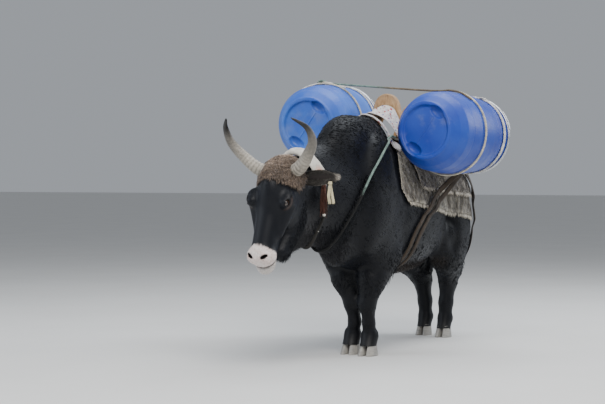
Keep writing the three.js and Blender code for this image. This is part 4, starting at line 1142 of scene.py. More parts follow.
def cloth_shell(outer, inner, rows, cols):
    """A closed sheet between two grids of points that share their edges."""
    n = len(outer)
    quads = grid_faces(rows, cols, wrap_cols=False)
    index = np.arange(n).reshape(rows, cols)
    border = np.concatenate([index[0, :-1], index[:-1, -1], index[-1, :0:-1], index[:0:-1, 0]])
    after = np.roll(border, -1)
    rim = np.stack([border, border + n, after + n, after], 1)
    points = np.concatenate([outer, inner])
    return points, outward(points, [np.concatenate([quads, quads[:, ::-1] + n, rim])])


def mean_runs(grid):
    """The mean length of a grid of points down its columns and along its rows, in metres."""
    down = np.linalg.norm(np.diff(grid, axis=0), axis=2).sum(0).mean()
    along = np.linalg.norm(np.diff(grid, axis=1), axis=2).sum(1).mean()
    return down / 1000, along / 1000


def joined(parts):
    """One mesh from several closed ones: points, faces by size, and the values that go with the points."""
    points, faces, values = [], {}, []
    start = 0
    for p, fs, v in parts:
        points.append(p)
        values.append(v)
        for f in fs:
            faces.setdefault(f.shape[1], []).append(f + start)
        start += len(p)
    return np.concatenate(points), [np.concatenate(f) for f in faces.values()], np.concatenate(values)


def piece_of(name, parts, material, colour=None, nodes=(), across=None):
    """One piece from closed parts. Its colour is an array, or a function of the points."""
    points, faces, along = joined(parts)
    extra = {"along": along / 1000}
    if across is not None:
        extra["across"] = across
    tint = colour(points) if callable(colour) else colour
    piece = mesh_object(name, points, faces, colour=tint, attributes=extra)
    piece.data.materials.append(material)
    if nodes:
        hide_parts(*nodes)
    return piece


def mottled(base, seed, scale=30, share=0.18):
    base = np.asarray(base, float)

    def colour(points):
        return base * (1 + share * wobble(points, scale, seed))[:, None]

    return colour


# The gear lies on the body: how much the rugs lift what passes over them
RUG = {
    "lift": 1.0,
    "thick": 15.0,
    "trims": [
        ((0, 26, 999), (0, -1, 0.8)),
        ((0, -92, 815), (0, -0.8, -0.6)),
        ((0, 790, 900), (0, 1, 0.12)),
        ((0, 300, 722), (0, -0.115, -1)),
    ],
}
UPPER_RUG = {
    "lift": 17.0,
    "thick": 12.0,
    "trims": [((0, 90, 900), (0, -1, 0.3)), ((0, 750, 900), (0, 1, 0.1)), ((0, 400, 812), (0, -0.07, -1))],
}


def inside_rug(rug, p, margin):
    share = np.ones(len(p))
    for at, normal in rug["trims"]:
        n = np.asarray(normal, float) / np.linalg.norm(normal)
        share *= smoothstep(margin, 4, (p - np.asarray(at, float)) @ n)
    return share


def under_gear(p, margin=60):
    return inside_rug(RUG, p, margin) * 16 + inside_rug(UPPER_RUG, p, margin) * 13


def strap(line, width, thick, lift, form=TRUNK, loose=False, across=7, over=under_gear, waver=0.0, seed=1):
    """A flat strap laid on the body, or off it where its line stands clear, with softly rounded edges."""
    clear = value_at(form, line) if loose else np.zeros(len(line))
    middle = laid(form, line, np.maximum(lift, clear))
    normal, _ = slope(form, middle)
    heading, far = run_of(middle)
    sideways = np.cross(brushed(heading, normal), normal)
    share = np.linspace(-0.5, 0.5, across)
    draw = np.random.default_rng(seed)
    wave = np.interp(far, np.linspace(0, far[-1], 24), draw.normal(size=24)) * waver
    rows = []
    for k in share:
        p = middle + sideways * (k * width)
        rows.append(laid(form, p, np.maximum(lift + over(p), clear) + wave, 4))
    under = np.stack(rows, 1)
    up, _ = slope(form, under.reshape(-1, 3))
    up = up.reshape(under.shape)
    crown = thick * (1 - 0.55 * (2 * np.abs(share)) ** 6)
    top = under + up * crown[None, :, None]
    loops = np.concatenate([under, top[:, ::-1]], 1)
    rows, cols = loops.shape[:2]
    points, faces = capped(loops.reshape(-1, 3), rows, cols, grid_faces(rows, cols))
    along = np.concatenate([np.repeat(far, cols), [0, far[-1]]])
    both = np.concatenate([share, share[::-1]]) * width / 1000
    return points, faces, along, np.concatenate([np.tile(both, rows), [0, 0]]), far[-1]


def both_sides(points):
    points = np.asarray(points, float)
    return np.concatenate([points, (points[:-1] * (-1, 1, 1))[::-1]])


def cloth_material(name, base, weave=900.0, tinted=False):
    """Woven stuff: fine threads both ways and uneven colour, and the points' own colour if it is tinted."""
    m = Nodes(name, roughness=0.9, specular=0.15, sheen=0.15)
    threads = m.noise(m.place((weave, weave, weave * 0.25)), 1.0, 2)
    colour = m.times(base, m.ramp(m.noise(m.place(), 14.0, 5), (0.3, 0.8), (0.7, 1.12)))
    colour = m.times(colour, m.ramp(threads, (0.3, 0.75), (0.7, 1.15)))
    m.colour(m.times(colour, m.tint()) if tinted else colour)
    m.bump(threads, 0.3, 0.0012)
    return m.material


def tinted_rope(name, roughness=0.85, strength=0.6):
    """Twisted fibre that takes its colour from the points."""
    m = Nodes(name, roughness=roughness, specular=0.2, sheen=0.1)
    fibre = m.noise(m.place((700, 700, 700)), 1.0, 3)
    soiled_and_shaded = m.ramp(m.noise(m.place(), 22.0, 4), (0.35, 0.6), (0.65, 1.1))
    m.colour(m.times(m.times(m.tint(), m.ramp(fibre, (0.3, 0.7), (0.7, 1.15))), soiled_and_shaded))
    m.bump(fibre, strength, 0.0012)
    return m.material


def webbing_material(name, base):
    """Narrow weave across and along a strap, worn lighter on its raised threads."""
    m = Nodes(name, roughness=0.85, specular=0.2, sheen=0.1)
    threads = [
        m.math("SINE", m.math("MULTIPLY", m.attribute(way).outputs["Fac"], 2 * math.pi / pitch))
        for way, pitch in (("along", 0.0042), ("across", 0.0036))
    ]
    weave = m.math("MULTIPLY", m.math("ADD", m.math("MULTIPLY", *threads), 1.0), 0.5)
    colour = m.times(base, m.ramp(m.noise(m.place(), 18.0, 5), (0.35, 0.7), (0.7, 1.5)))
    m.colour(m.times(colour, m.ramp(weave, (0.0, 0.65), (1.0, 1.15))))
    m.bump(weave, 0.5, 0.001)
    return m.material


# Horns: ridged at the base, smooth and dark at the tip
HORN_LINES = {
    "left": [(56, -44, 60), (116, -8, 38), (168, 40, -4), (214, 108, -44), (210, 174, -80), (158, 246, -97)],
    "right": [(-42, -48, 66), (-112, -22, 52), (-178, 14, 12), (-232, 66, -36), (-236, 132, -78),
              (-197, 208, -97)],
}
HORN_RADII = [34, 32.5, 29.5, 26.5, 23.5, 19.5, 14.5, 9, 4]
HORN_PALE, HORN_MIDDLE, HORN_TIP = np.array([[0.36, 0.325, 0.27], [0.16, 0.145, 0.125], [0.012, 0.011, 0.011]])
HORN_RUN = 400


def horn_material():
    m = Nodes("horn", roughness=0.42, specular=0.45)
    streaks = m.noise(m.place((90, 90, 90)), 1.0, 5)
    flakes = m.noise(m.place((260, 260, 60)), 1.0, 3)
    m.colour(m.times(m.tint(), m.ramp(streaks, (0.3, 0.72), (0.7, 1.18))))
    m.rough(streaks, 0.32, 0.6)
    m.bump(flakes, 0.35, 0.001)
    return m.material


def make_horns():
    look = horn_material()
    for side, route in HORN_LINES.items():
        line = spline(from_head(np.array(route, float)), 2.2)[:-1]
        t = np.linspace(0, 1, len(line))
        radius = np.interp(t, np.linspace(0, 1, len(HORN_RADII)), HORN_RADII)
        far = t * HORN_RUN
        ridges = np.abs(np.sin(far / 15 * math.pi + 1.3 * np.sin(far / 31))) ** 0.7
        radius = radius - (1.0 - ridges) * 2.4 * smoothstep(0.62, 0.05, t)
        radius[-6:] *= np.linspace(0.95, 0.45, 6)
        points, faces, along = tube(line, radius, 40)
        u = along / along.max()
        colour = HORN_PALE + (HORN_MIDDLE - HORN_PALE) * smoothstep(0.25, 0.62, u)[:, None]
        colour = mixed(colour, HORN_TIP, smoothstep(0.58, 0.84, u))
        # Painted shade: the grooves between the ridges are made darker
        groove_shade = (1 - np.interp(u, t, ridges)) * smoothstep(0.62, 0.05, u)
        colour = colour * (1 - 0.55 * groove_shade)[:, None] * (1 + 0.12 * wobble(points, 40, 5))[:, None]
        piece_of(f"horn_{side}_shell", [(points, faces, along)], look, colour, [f"horn_{side}"])


# Hooves: two claws to a foot, grey horn with growth lines
HOOF_SIZE = {"width": 45, "front": 60, "back": 46, "cleft": 5}
FEET_AT = {"fore_left": (57, -214), "fore_right": (-50, -188), "hind_left": (70, 764), "hind_right": (-70, 822)}


def hoof_material():
    m = Nodes("hoof_horn", roughness=0.55, specular=0.35)
    lines = m.noise(m.place((25, 25, 420)), 1.0, 3)
    down = m.noise(m.place((600, 600, 40)), 1.0, 3)
    colour = m.ramp(lines, (0.3, (0.19, 0.185, 0.175)), (0.7, (0.36, 0.345, 0.32)))
    dust = m.noise(m.place(), 30.0, 5)
    m.colour(m.mix(m.ramp(dust, (0.4, 0.0), (0.75, 0.6)), colour, (0.42, 0.39, 0.34)))
    m.bump(m.mix(0.5, lines, down), 0.5, 0.0012)
    return m.material


def claw_loops(cx, cy, side, scale):
    """Rows of one claw from the sole up; the side says on which side of the cleft it lies."""
    top = CORONET + 9
    levels = np.concatenate([[0, 0, 1.2], np.linspace(3, top, 22), [top]])
    shrink = np.concatenate([[0.55, 0.965, 0.99], np.ones(22), [0.5]])
    c, s = np.cos(circle(48)), np.sin(circle(48))
    bulge = np.where(c < 0, -np.sqrt(np.abs(c)), c)
    across = HOOF_SIZE["cleft"] / 2 + HOOF_SIZE["width"] / 2 * (1 + bulge)
    blend = 0.4 * np.maximum(-s, 0) ** 3
    rows = []
    for z, inward in zip(levels, shrink):
        rise = min(z / CORONET, 1.08)
        x = (across * (1 - blend) + HOOF_SIZE["width"] * 0.42 * blend) * (1 - 0.16 * rise)
        long = np.where(s < 0, HOOF_SIZE["front"] * (1 - 0.4 * rise), HOOF_SIZE["back"] * (1 - 0.12 * rise))
        ring = 1 + 0.012 * math.sin(z * 1.05) + 0.008 * math.sin(z * 2.3 + 1)
        row = np.stack([cx + side * x * scale, cy + long * s * scale * ring + 4 * rise, np.full(48, z)], 1)
        middle = row.mean(0)
        rows.append(middle + (row - middle) * (inward, inward, 1))
    return rows


def make_hooves():
    look = hoof_material()
    for name, (cx, cy) in FEET_AT.items():
        outside = math.copysign(1, cx)
        scale = 1 if name.startswith("fore") else 0.93
        for claw, side in (("outer", outside), ("inner", -outside)):
            rows = claw_loops(cx, cy, side, scale)
            points, faces = capped(np.concatenate(rows), len(rows), 48, grid_faces(len(rows), 48))
            piece_of(f"claw_{name}_{claw}", [(points, faces, points[:, 2])], look,
                     nodes=[f"hoof_{name}_{claw}"])


# Eyes: a brown iris with a long level pupil under a clear bulge, set in the lids
def eye_material():
    m = Nodes("eye_ball", roughness=0.08, specular=0.6, coat=1.0)
    m.colour(m.tint())
    m.shader.inputs["Coat Roughness"].default_value = 0.03
    return m.material


def make_eyes():
    look = eye_material()
    for side, name in ((1, "left"), (-1, "right")):
        turn = np.array([side, 1, 1])
        off, v = np.meshgrid(np.linspace(0, math.pi, 44)[1:-1], circle(64), indexing="ij")
        look_share, long_share, high_share = np.cos(off), np.sin(off) * np.cos(v), np.sin(off) * np.sin(v)
        ball = look_share[..., None] * EYE_LOOK + long_share[..., None] * EYE_LONG
        ball = ball + high_share[..., None] * EYE_HIGH
        swell = 1 + 0.055 * np.exp(-((off / 0.5) ** 2))
        local = (EYE + ball * (EYE_RADIUS * 0.985 * swell)[..., None]).reshape(-1, 3) * turn
        points, faces = capped(local, *off.shape, grid_faces(*off.shape))
        at = unit(points * turn - EYE)
        long, high, out = at @ EYE_LONG, at @ EYE_HIGH, at @ EYE_LOOK
        iris = smoothstep(0.56, 0.5, np.hypot(long, high)) * (out > 0)
        pupil = smoothstep(1.05, 0.9, np.hypot(long / 0.34, high / 0.2)) * (out > 0)
        colour = mixed(np.array([[0.09, 0.075, 0.07]]), np.array([0.035, 0.014, 0.006]), iris)
        colour = mixed(colour, np.array([0.002, 0.002, 0.003]), pupil)
        world = from_head(points)
        piece_of(f"eyeball_{name}", [(world, outward(world, faces), points[:, 2])], look, colour,
                 [f"eye_{name}"])


# Ears: a cupped leaf, dark outside, paler and hairy inside, with a pale edge and tip
EAR = {"length": 186, "width": 80, "thick": 8}
EAR_HEADING = {"left": (0.95, -0.19, -0.26), "right": (-0.5, -0.82, -0.28)}
EAR_DARK, EAR_INSIDE, EAR_PALE = np.array([[0.009, 0.009, 0.01], [0.035, 0.028, 0.026], [0.42, 0.38, 0.33]])
EAR_ROWS, EAR_COLUMNS = 60, 30


def ear_frame(side):
    mirror = 1 if side == "left" else -1
    heading = unit(np.array(EAR_HEADING[side], float))
    opening = np.array([mirror * 0.2, 0.72, 0.66])
    opening = unit(opening - heading * (opening @ heading))
    return np.array([mirror * 86, -84, 68.0]), heading, opening, np.cross(heading, opening)


def ear_point(side, t, s, depth):
    """A point of the ear's leaf: t from root to tip, s across from -1 to 1, depth from the back to the inside."""
    root, heading, opening, wide = ear_frame(side)
    half = EAR["width"] / 2 * np.maximum(np.sin(math.pi * (0.16 + 0.8 * t)) ** 0.8, 0.2)
    roll = 1.25 + (0.55 - 1.25) * t
    bend = s * roll * 1.25
    radius = half / np.sin(np.minimum(roll * 1.25, 1.5))
    rim = EAR["thick"] * (1 - 0.45 * np.abs(s)) * (1 - 0.3 * t)
    edge = np.sqrt(np.clip(1 - np.abs(s) ** 8, 0.05, 1))
    shell = radius - rim * (0.5 + (depth - 0.5) * edge)
    droop = 18 * t * t
    point = root + heading * (EAR["length"] * t - 6 * s * s * t)[..., None]
    point = point + wide * (shell * np.sin(bend))[..., None]
    point = point + opening * (radius * 0.55 - shell * np.cos(bend))[..., None]
    return point + np.array([0, -0.35, 0.94]) * droop[..., None]


def make_ears():
    m = Nodes("ear_skin", roughness=0.6, specular=0.25, sheen=0.2)
    fuzz = m.noise(m.place((500, 500, 500)), 1.0, 3)
    m.colour(m.times(m.tint(), m.ramp(fuzz, (0.3, 0.7), (0.7, 1.2))))
    m.bump(fuzz, 0.4, 0.0012)
    rows, cols = EAR_ROWS, 2 * EAR_COLUMNS
    s = np.linspace(-1, 1, EAR_COLUMNS)
    t = np.repeat(np.linspace(-0.06, 1, rows), cols)
    s = np.tile(np.concatenate([s, s[::-1]]), rows)
    inside = np.tile(np.repeat([0.0, 1.0], EAR_COLUMNS), rows)
    for side in ("left", "right"):
        points, faces = capped(ear_point(side, t, s, inside), rows, cols, grid_faces(rows, cols))
        tt, ss, ii = np.append(t, [0, 1]), np.append(s, [0, 0]), np.append(inside, [0, 0.5])
        colour = mixed(EAR_DARK[None], EAR_INSIDE, ii)
        edge = smoothstep(0.8, 0.97, np.abs(ss)) * smoothstep(0.2, 0.5, tt)
        colour = mixed(colour, EAR_PALE, np.clip(edge * 0.7 + smoothstep(0.82, 0.98, tt) * 0.8, 0, 1))
        world = from_head(points)
        piece_of(f"ear_{side}_leaf", [(world, outward(world, faces), tt)], m.material, colour,
                 [f"ear_{side}"])
        grow_ear_hair(side)


def grow_ear_hair(side):
    many = finer(1.0)
    draw = np.random.default_rng(61 if side == "left" else 62)
    _, heading, _, wide = ear_frame(side)
    turn = HEAD_FRAME[:3, :3].T
    groups = []
    # the back, laid towards the tip
    count = int(1900 * many)
    t, s = draw.uniform(0.02, 0.97, count), draw.uniform(-1, 1, count)
    groups.append((t, s, 0.0, draw.uniform(9, 16, count), 12.0))
    # the inside and both edges, long and loose
    count = int(1400 * many)
    t = draw.uniform(0.02, 0.9, count)
    s = np.clip(np.sign(draw.normal(size=count)) * draw.uniform(0.55, 1, count), -1, 1)
    groups.append((t, s, 1.0, draw.uniform(16, 34, count) * (1 - 0.4 * t), 34.0))
    for number, (t, s, inner, long, lift) in enumerate(groups):
        at = ear_point(side, t, s, inner)
        normal = unit(ear_point(side, t, s, 1.0) - ear_point(side, t, s, 0.0))
        normal = normal if inner else -normal
        lie = np.tile(heading, (len(t), 1)) + 0.25 * draw.normal(size=(len(t), 3))
        if inner:
            lie = lie * 0.8 - wide * (np.sign(s) * 0.5)[:, None]
        lie = brushed(lie, normal)
        colour = mixed(EAR_DARK[None], EAR_PALE, np.clip(smoothstep(0.8, 0.97, t) * 0.8 + inner * 0.14, 0, 1))
        colour = colour * draw.uniform(0.6, 1.5, (len(t), 1))
        tufts(f"ear_hair_{side}_{number + 1}", from_head(at), normal @ turn, lie @ turn, long, finer(2.0),
              lift, 2, colour, HAIR, curl=0.3, seed=70 + number)


# Drums: blown plastic shells with two hand pockets in the base, a lid, a clamp ring and rope rings
DRUM_LENGTH, DRUM_RADIUS = 590, 205
LID_START = DRUM_LENGTH - 42
DRUM_PROFILE = [(118, 12), (127, 0), (141, 0), (147, 12), (174, 46), (195, 95), (DRUM_RADIUS, 210), (203, 370),
                (192, 480), (178, LID_START)]
# Radius and distance past the lid's start
LID_PROFILE = [(3, 0), (187, 0), (187, 26), (176, 34), (160, 34), (154, 22), (90, 21), (84, 24), (40, 24),
               (36, 20), (3, 20)]
CLAMP_PROFILE = [(187.4, 7), (192, 7.5), (195.6, 10), (196, 15.5), (195.6, 21), (192, 23.5), (187.4, 24)]
LEVER_PROFILE = [(196.2, 9), (199.4, 10.2), (199.8, 15.5), (199.4, 20.8), (196.2, 22)]
RING_FRONT, RING_REAR = 255, 504
# The right drum's blue and faded blue are lighter than the left's: painted light on the far drum
DRUMS = {
    "left": {"at": (352, -200, 1115), "yaw": -5.5, "pitch": 1.5, "turn": 35, "knot": 24, "seed": 11,
             "blue": (0.005, 0.032, 0.3), "faded": (0.02, 0.075, 0.42)},
    "right": {"at": (-325, -135, 1152), "yaw": 5, "pitch": -3.4, "turn": 35, "knot": -30, "seed": 12,
              "blue": (0.014, 0.07, 0.42), "faded": (0.05, 0.16, 0.56)},
}


def drum_matrix(drum):
    return np.array(
        Matrix.Translation(drum["at"])
        @ Matrix.Rotation(math.radians(drum["yaw"]), 4, "Z")
        @ Matrix.Rotation(math.radians(-drum["pitch"]), 4, "X")
    )


def placed(points, matrix):
    return points @ matrix[:3, :3].T + matrix[:3, 3]


def lathe(profile, segments, past=0.0):
    """Rows round the drum's axis, from stations of radius and distance; the ends close on the axis."""
    angle = circle(segments)
    r, y = np.array(profile, float).T
    rows = np.stack(
        [r[:, None] * np.sin(angle), np.repeat(y[:, None] + past, segments, 1), r[:, None] * np.cos(angle)], -1
    ).reshape(-1, 3)
    return capped(rows, len(r), segments, grid_faces(len(r), segments))


def eased(profile, step, width):
    """The profile with its corners rounded over a width on both sides, and stations close together."""
    fine = evened(np.array([(r, y, 0.0) for r, y in profile], float), 1.0)
    kernel = np.ones(2 * width + 1) / (2 * width + 1)
    ends = np.concatenate([np.repeat(fine[:1], width, 0), fine, np.repeat(fine[-1:], width, 0)])
    soft = np.stack([np.convolve(ends[:, k], kernel, "valid") for k in range(3)], 1)
    return evened(soft, step)[:, :2]


def plastic_material(name, base, faded):
    m = Nodes(name, roughness=0.42, specular=0.4)
    vector = m.place()
    fade = m.ramp(m.noise(vector, 4.0, 5), (0.35, 0.0), (0.7, 1.0))
    colour = m.mix(fade, base, faded)
    scratches = m.ramp(m.noise(m.place((30, 900, 30)), 1.0, 4), (0.62, 0.0), (0.72, 0.35))
    colour = m.mix(scratches, colour, faded)
    dust = m.ramp(m.noise(vector, 9.0, 8, 0.65), (0.52, 0.0), (0.8, 0.28))
    colour = m.mix(dust, colour, (0.3, 0.32, 0.34))
    m.colour(colour)
    m.rough(m.noise(vector, 12.0, 6), 0.3, 0.62)
    m.bump(m.noise(vector, 70.0, 4), 0.1, 0.002)
    return m.material


def steel_material():
    m = Nodes("galvanised", roughness=0.42, metallic=0.9)
    spangle = m.noise(m.place(), 60.0, 2)
    m.colour(m.ramp(spangle, (0.3, (0.42, 0.43, 0.44)), (0.7, (0.6, 0.61, 0.62))))
    m.rough(spangle, 0.3, 0.55)
    return m.material


def drum_radius(y):
    return np.interp(y, [95, 210, 370, 480, 560], [195, DRUM_RADIUS, 203, 192, 178])


def on_drum(drum, y, angle, lift):
    """A point over a drum's skin: along its axis, round from the top towards +X, and how high above it."""
    r = drum_radius(y) + lift
    a = math.radians(angle)
    return placed(np.array([[r * math.sin(a), y, r * math.cos(a)]]), drum_matrix(drum))[0]


ROPE_CREAM = (0.62, 0.57, 0.44)
ROPE_WHITE = (0.7, 0.68, 0.62)
ROPE_GREEN = (0.19, 0.27, 0.235)
ROPE_BROWN = (0.17, 0.13, 0.085)


def ring_line(drum, y, radius, wave=0.0, seed=1):
    angle = circle(420)
    r = drum_radius(y) + radius + 2.0
    draw = np.random.default_rng(seed)
    shift = wave * (np.sin(angle * 2 + draw.uniform(0, 6)) + 0.6 * np.sin(angle * 5 + draw.uniform(0, 6)))
    line = np.stack([r * np.sin(angle), y + shift, r * np.cos(angle)], 1)
    return placed(line, drum_matrix(drum))


def drum_shell(drum):
    """The body with the two hand pockets and the bar between them in its base."""
    base = [(r, 12.0) for r in np.arange(2.0, 112, 2.4)]
    inside = [(176, LID_START - 0.3), (60, LID_START - 0.3)]
    points, faces = lathe(np.concatenate([base, eased(DRUM_PROFILE, 3.2, 3), inside]), 180)
    x, y, z = points.T
    c, s = math.cos(math.radians(drum["turn"])), math.sin(math.radians(drum["turn"]))
    across, along = x * c - z * s, x * s + z * c
    depth = 1 - (across / 44) ** 2 - ((np.abs(along) - 108) / 26) ** 2
    floor = 12 + 22 * np.sqrt(np.maximum(depth, 0))
    sunk = np.where((y < 40) & (depth > 0), np.maximum(y, floor - 1.5), y)
    sunk = sunk - 2.6 * smoothstep(4, 2, np.abs(across)) * smoothstep(86, 83, np.abs(along)) * (y < 13)
    ribs = np.exp(-(((y - 150) / 3.0) ** 2)) + np.exp(-(((y - 430) / 3.0) ** 2))
    swell = 1 - 0.006 * ribs * (np.hypot(x, z) > 150)
    return np.stack([x * swell, sunk, z * swell], 1), faces


def drum_lid():
    points, faces = lathe(eased([(r, LID_START + y) for r, y in LID_PROFILE], 2.4, 2), 120)
    x, y, z = points.T
    grip = (np.hypot(x, z) > 183) * (y > LID_START + 22)
    points[:, [0, 2]] *= (1 - 0.008 * grip * (np.sin(np.arctan2(x, z) * 48) > 0))[:, None]
    return points, faces


def clamp_band(matrix):
    angle = circle(192)
    r, y = np.array(CLAMP_PROFILE).T
    rows = np.stack([np.outer(np.sin(angle), r), np.tile(LID_START + y, (192, 1)), np.outer(np.cos(angle), r)], -1)
    rows = placed(rows.reshape(-1, 3), matrix)
    return rows, outward(rows, [grid_faces(192, len(r), wrap_rows=True)]), rows[:, 0]


def make_drums(rope_look):
    steel = steel_material()
    for side, drum in DRUMS.items():
        look = plastic_material(f"drum_blue_{side}", drum["blue"], drum["faded"])
        matrix = drum_matrix(drum)
        for name, node, (points, faces) in (("shell", "body", drum_shell(drum)), ("cover", "lid", drum_lid())):
            piece_of(f"drum_{side}_{name}", [(placed(points, matrix), faces, points[:, 1])], look,
                     nodes=[f"drum_{side}_{node}"])
        piece_of(f"drum_{side}_band", [clamp_band(matrix), lever_plate(matrix)], steel,
                 nodes=[f"drum_{side}_clamp"])
        front = [tube(ring_line(drum, RING_FRONT, 5.5, 2.0, drum["seed"]), 5.5, 14, closed=True, lay=30)]
        piece_of(f"drum_{side}_ring_front", front, rope_look, mottled(ROPE_CREAM, 3),
                 [f"drum_{side}_rope_front"])
        rear = [tube(ring_line(drum, RING_REAR + k * 5.6, 5.3, 0.3, 13), 5.3, 14, closed=True, lay=30)
                for k in (-1, 1)]
        piece_of(f"drum_{side}_ring_rear", rear + rear_knot(drum, drum["knot"]), rope_look,
                 mottled(ROPE_WHITE, 4), [f"drum_{side}_rope_rear"])


def lever_plate(matrix):
    """The lever that closes the clamp ring: a curved plate lying on it."""
    angle = np.radians(np.linspace(52, 82, 24))
    rows = [(r * math.sin(a), LID_START + y, r * math.cos(a)) for a in angle for r, y in LEVER_PROFILE]
    points, faces = capped(placed(np.array(rows), matrix), len(angle), 5, grid_faces(len(angle), 5))
    return points, faces, points[:, 0]


def rear_knot(drum, angle):
    """A small knot on the doubled rope, with two cut tails."""
    parts = []
    for da, dy in ((-6, -24), (7, 20)):
        way = [(0, 0, 8), (dy * 0.5, da * 0.5, 13), (dy, da, 7)]
        line = spline([on_drum(drum, RING_REAR + y, angle + a, lift) for y, a, lift in way], 3)
        parts.append(tube(line, 4.6, 10, lay=26))
    a = circle(60)
    centre = on_drum(drum, RING_REAR, angle, 9)
    ahead = unit(on_drum(drum, RING_REAR + 12, angle, 9) - centre)
    up = unit(on_drum(drum, RING_REAR, angle, 30) - centre)
    ring = centre + ahead * (np.cos(a) * 9)[:, None] + up * (np.sin(a) * 7)[:, None]
    return parts + [tube(ring, 4.6, 10, closed=True, lay=20)]


TIE = {"radius": 5.5, "lift": 8.5, "right": 284, "left": 232}
# The white bights: distance along the right drum, angle round it, and height over it
BIGHTS = [
    [(262, -6, 12), (236, -12, 8), (212, -20, 6), (206, -28, 6), (222, -33, 6), (246, -29, 7), (258, -18, 12)],
    [(270, -4, 14), (292, 4, 9), (316, 12, 6.5), (344, 20, 6)],
    [(262, -2, 16), (278, 8, 12), (300, 18, 7), (330, 27, 6)],
]


def bent(points, step=2.5):
    return spline(np.array(points), step)


def tie_colour(points):
    share = smoothstep(-60, 70, points[:, 0] + 14 * wobble(points, 60, 9))
    colour = mixed(np.array([ROPE_GREEN]), np.array(ROPE_BROWN), share)
    return colour * (1 + 0.2 * wobble(points, 25, 8))[:, None]


def make_tie(rope_look):
    """The line that ties the drums together over the saddle, with its knot and bights on the right drum."""
    left, right = DRUMS["left"], DRUMS["right"]
    way = [on_drum(right, TIE["right"], a, TIE["lift"]) for a in (-40, -22, -4, 9)]
    way += [on_drum(left, TIE["left"], a, TIE["lift"]) for a in (-9, 4, 22, 40)]
    a = circle(260)
    wide = 2 + np.cos(3 * a)
    knot = np.stack([wide * np.cos(2 * a), wide * np.sin(2 * a), 1.3 * np.sin(3 * a)], 1)
    knot = on_drum(right, TIE["right"], -6, 15) + knot * 7.2
    parts = [tube(bent(way), TIE["radius"], 14, lay=30), tube(knot, 5.2, 12, closed=True, lay=26)]
    piece_of("tie_line", parts, rope_look, tie_colour, ["drum_tie"])
    whites = [tube(bent([on_drum(right, *place) for place in route]), 4.2, 12, lay=24) for route in BIGHTS]
    piece_of("tie_bights", whites, rope_look, mottled(ROPE_WHITE, 6))


# The pack saddle: two arches of pale wood on two boards
SADDLE = {"front": 150, "rear": 500, "top": 1320, "rear_drop": 40, "thick": 42}


def wood_material():
    m = Nodes("saddle_wood", roughness=0.55, specular=0.35)
    grain = m.noise(m.place((60, 260, 26), (0, 0.25, 0)), 1.0, 6)
    fine = m.noise(m.place((520, 520, 60)), 1.0, 4)
    dark, middle, light = (0.25, 0.135, 0.058), (0.46, 0.28, 0.135), (0.56, 0.37, 0.2)
    colour = m.ramp(grain, (0.28, dark), (0.5, middle), (0.72, light))
    colour = m.times(colour, m.ramp(fine, (0.3, 0.72), (0.65, 1.12)))
    worn = m.ramp(m.noise(m.place(), 11.0, 6), (0.5, 0.0), (0.75, 0.55))
    m.colour(m.mix(worn, colour, (0.2, 0.13, 0.08)))
    m.bump(fine, 0.3, 0.0012)
    return m.material


def quadratic(a, b, c, t):
    a, b, c = (np.array(v, float) for v in (a, b, c))
    t = t[:, None]
    return a * (1 - t) ** 2 + 2 * b * t * (1 - t) + c * t * t


def arch_half(foot, shoulder, bend, crown):
    """One edge of an arch from its foot to its crown: a straight leg and a rounded shoulder."""
    t = np.linspace(0, 1, 34)[:, None]
    leg = np.array(foot) * (1 - t) + np.array(shoulder) * t
    return np.concatenate([leg, quadratic(shoulder, bend, crown, np.linspace(0, 1, 22)[1:])])


def arch_parts(y, top):
    outer = arch_half((-150, 1040), (-74, top - 84), (-62, top - 4), (0, top))
    inner = arch_half((-114, 1012), (-22, top - 128), (-14, top - 80), (0, top - 78))
    outer, inner = (np.concatenate([e, (e[:-1] * (-1, 1))[::-1]]) for e in (outer, inner))
    half = SADDLE["thick"] / 2
    corner = 9.0
    ring = []
    for start, (sx, sy) in enumerate(((1, 1), (-1, 1), (-1, -1), (1, -1))):
        for k in np.linspace(0, math.pi / 2, 5):
            angle = k + start * math.pi / 2
            ring.append((sx, sy, math.cos(angle), math.sin(angle)))
    rows = []
    for o, i in zip(outer, inner):
        middle, reach = (o + i) / 2, np.linalg.norm(o - i) / 2
        out = unit(o - i)
        for sx, sy, c, s in ring:
            u = sx * (reach - corner) + corner * c
            v = sy * (half - corner) + corner * s
            rows.append((middle[0] + out[0] * u, y + v, middle[1] + out[1] * u))
    points, faces = capped(np.array(rows), len(outer), len(ring), grid_faces(len(outer), len(ring)))
    return points, faces, points[:, 2]


def make_saddle():
    look = wood_material()
    for place, y in (("front", SADDLE["front"]), ("rear", SADDLE["rear"])):
        top = SADDLE["top"] - (SADDLE["rear_drop"] if place == "rear" else 0)
        piece_of(f"saddle_bow_{place}", [arch_parts(y, top - 1)], look,
                 nodes=[f"saddle_arch_{place}"])
    for side, name in ((1, "left"), (-1, "right")):
        route = np.array([(100, 112, 1036), (105, 250, 1030), (108, 430, 1015), (108, 590, 1000)]) * (side, 1, 1)
        board = strap(bent(route, 6), 120, 22, 8, over=lambda p: np.full(len(p), 29.0), across=15)
        piece_of(f"saddle_bar_{name}", [board[:3]], look, nodes=[f"saddle_board_{name}"])


# Rugs: shaggy blankets over the back, with folds that run down to their hems
def rug_front(z, upper):
    if upper:
        return 90 + 0.3 * (z - 900)
    return np.maximum(26 + 0.8 * (z - 999), -92 - 0.75 * (z - 815))


def rug_rear(z, upper):
    return 750 - 0.1 * (z - 900) if upper else 790 - 0.12 * (z - 900)


def rug_hem(y, upper):
    return 812 - 0.07 * (y - 400) if upper else 722 - 0.115 * (y - 300)


def trunk_reach(at, directions, longest, rounds):
    """How far off the trunk's surface lies in each direction."""
    low, high = np.zeros(len(directions)), np.full(len(directions), float(longest))
    for _ in range(rounds):
        r = (low + high) / 2
        inside = value_at(TRUNK, at + directions * r[:, None]) < 0
        low, high = np.where(inside, r, low), np.where(inside, high, r)
    return (low + high) / 2


# The trunk's surface round a level axis, at this height
AXIS = 790


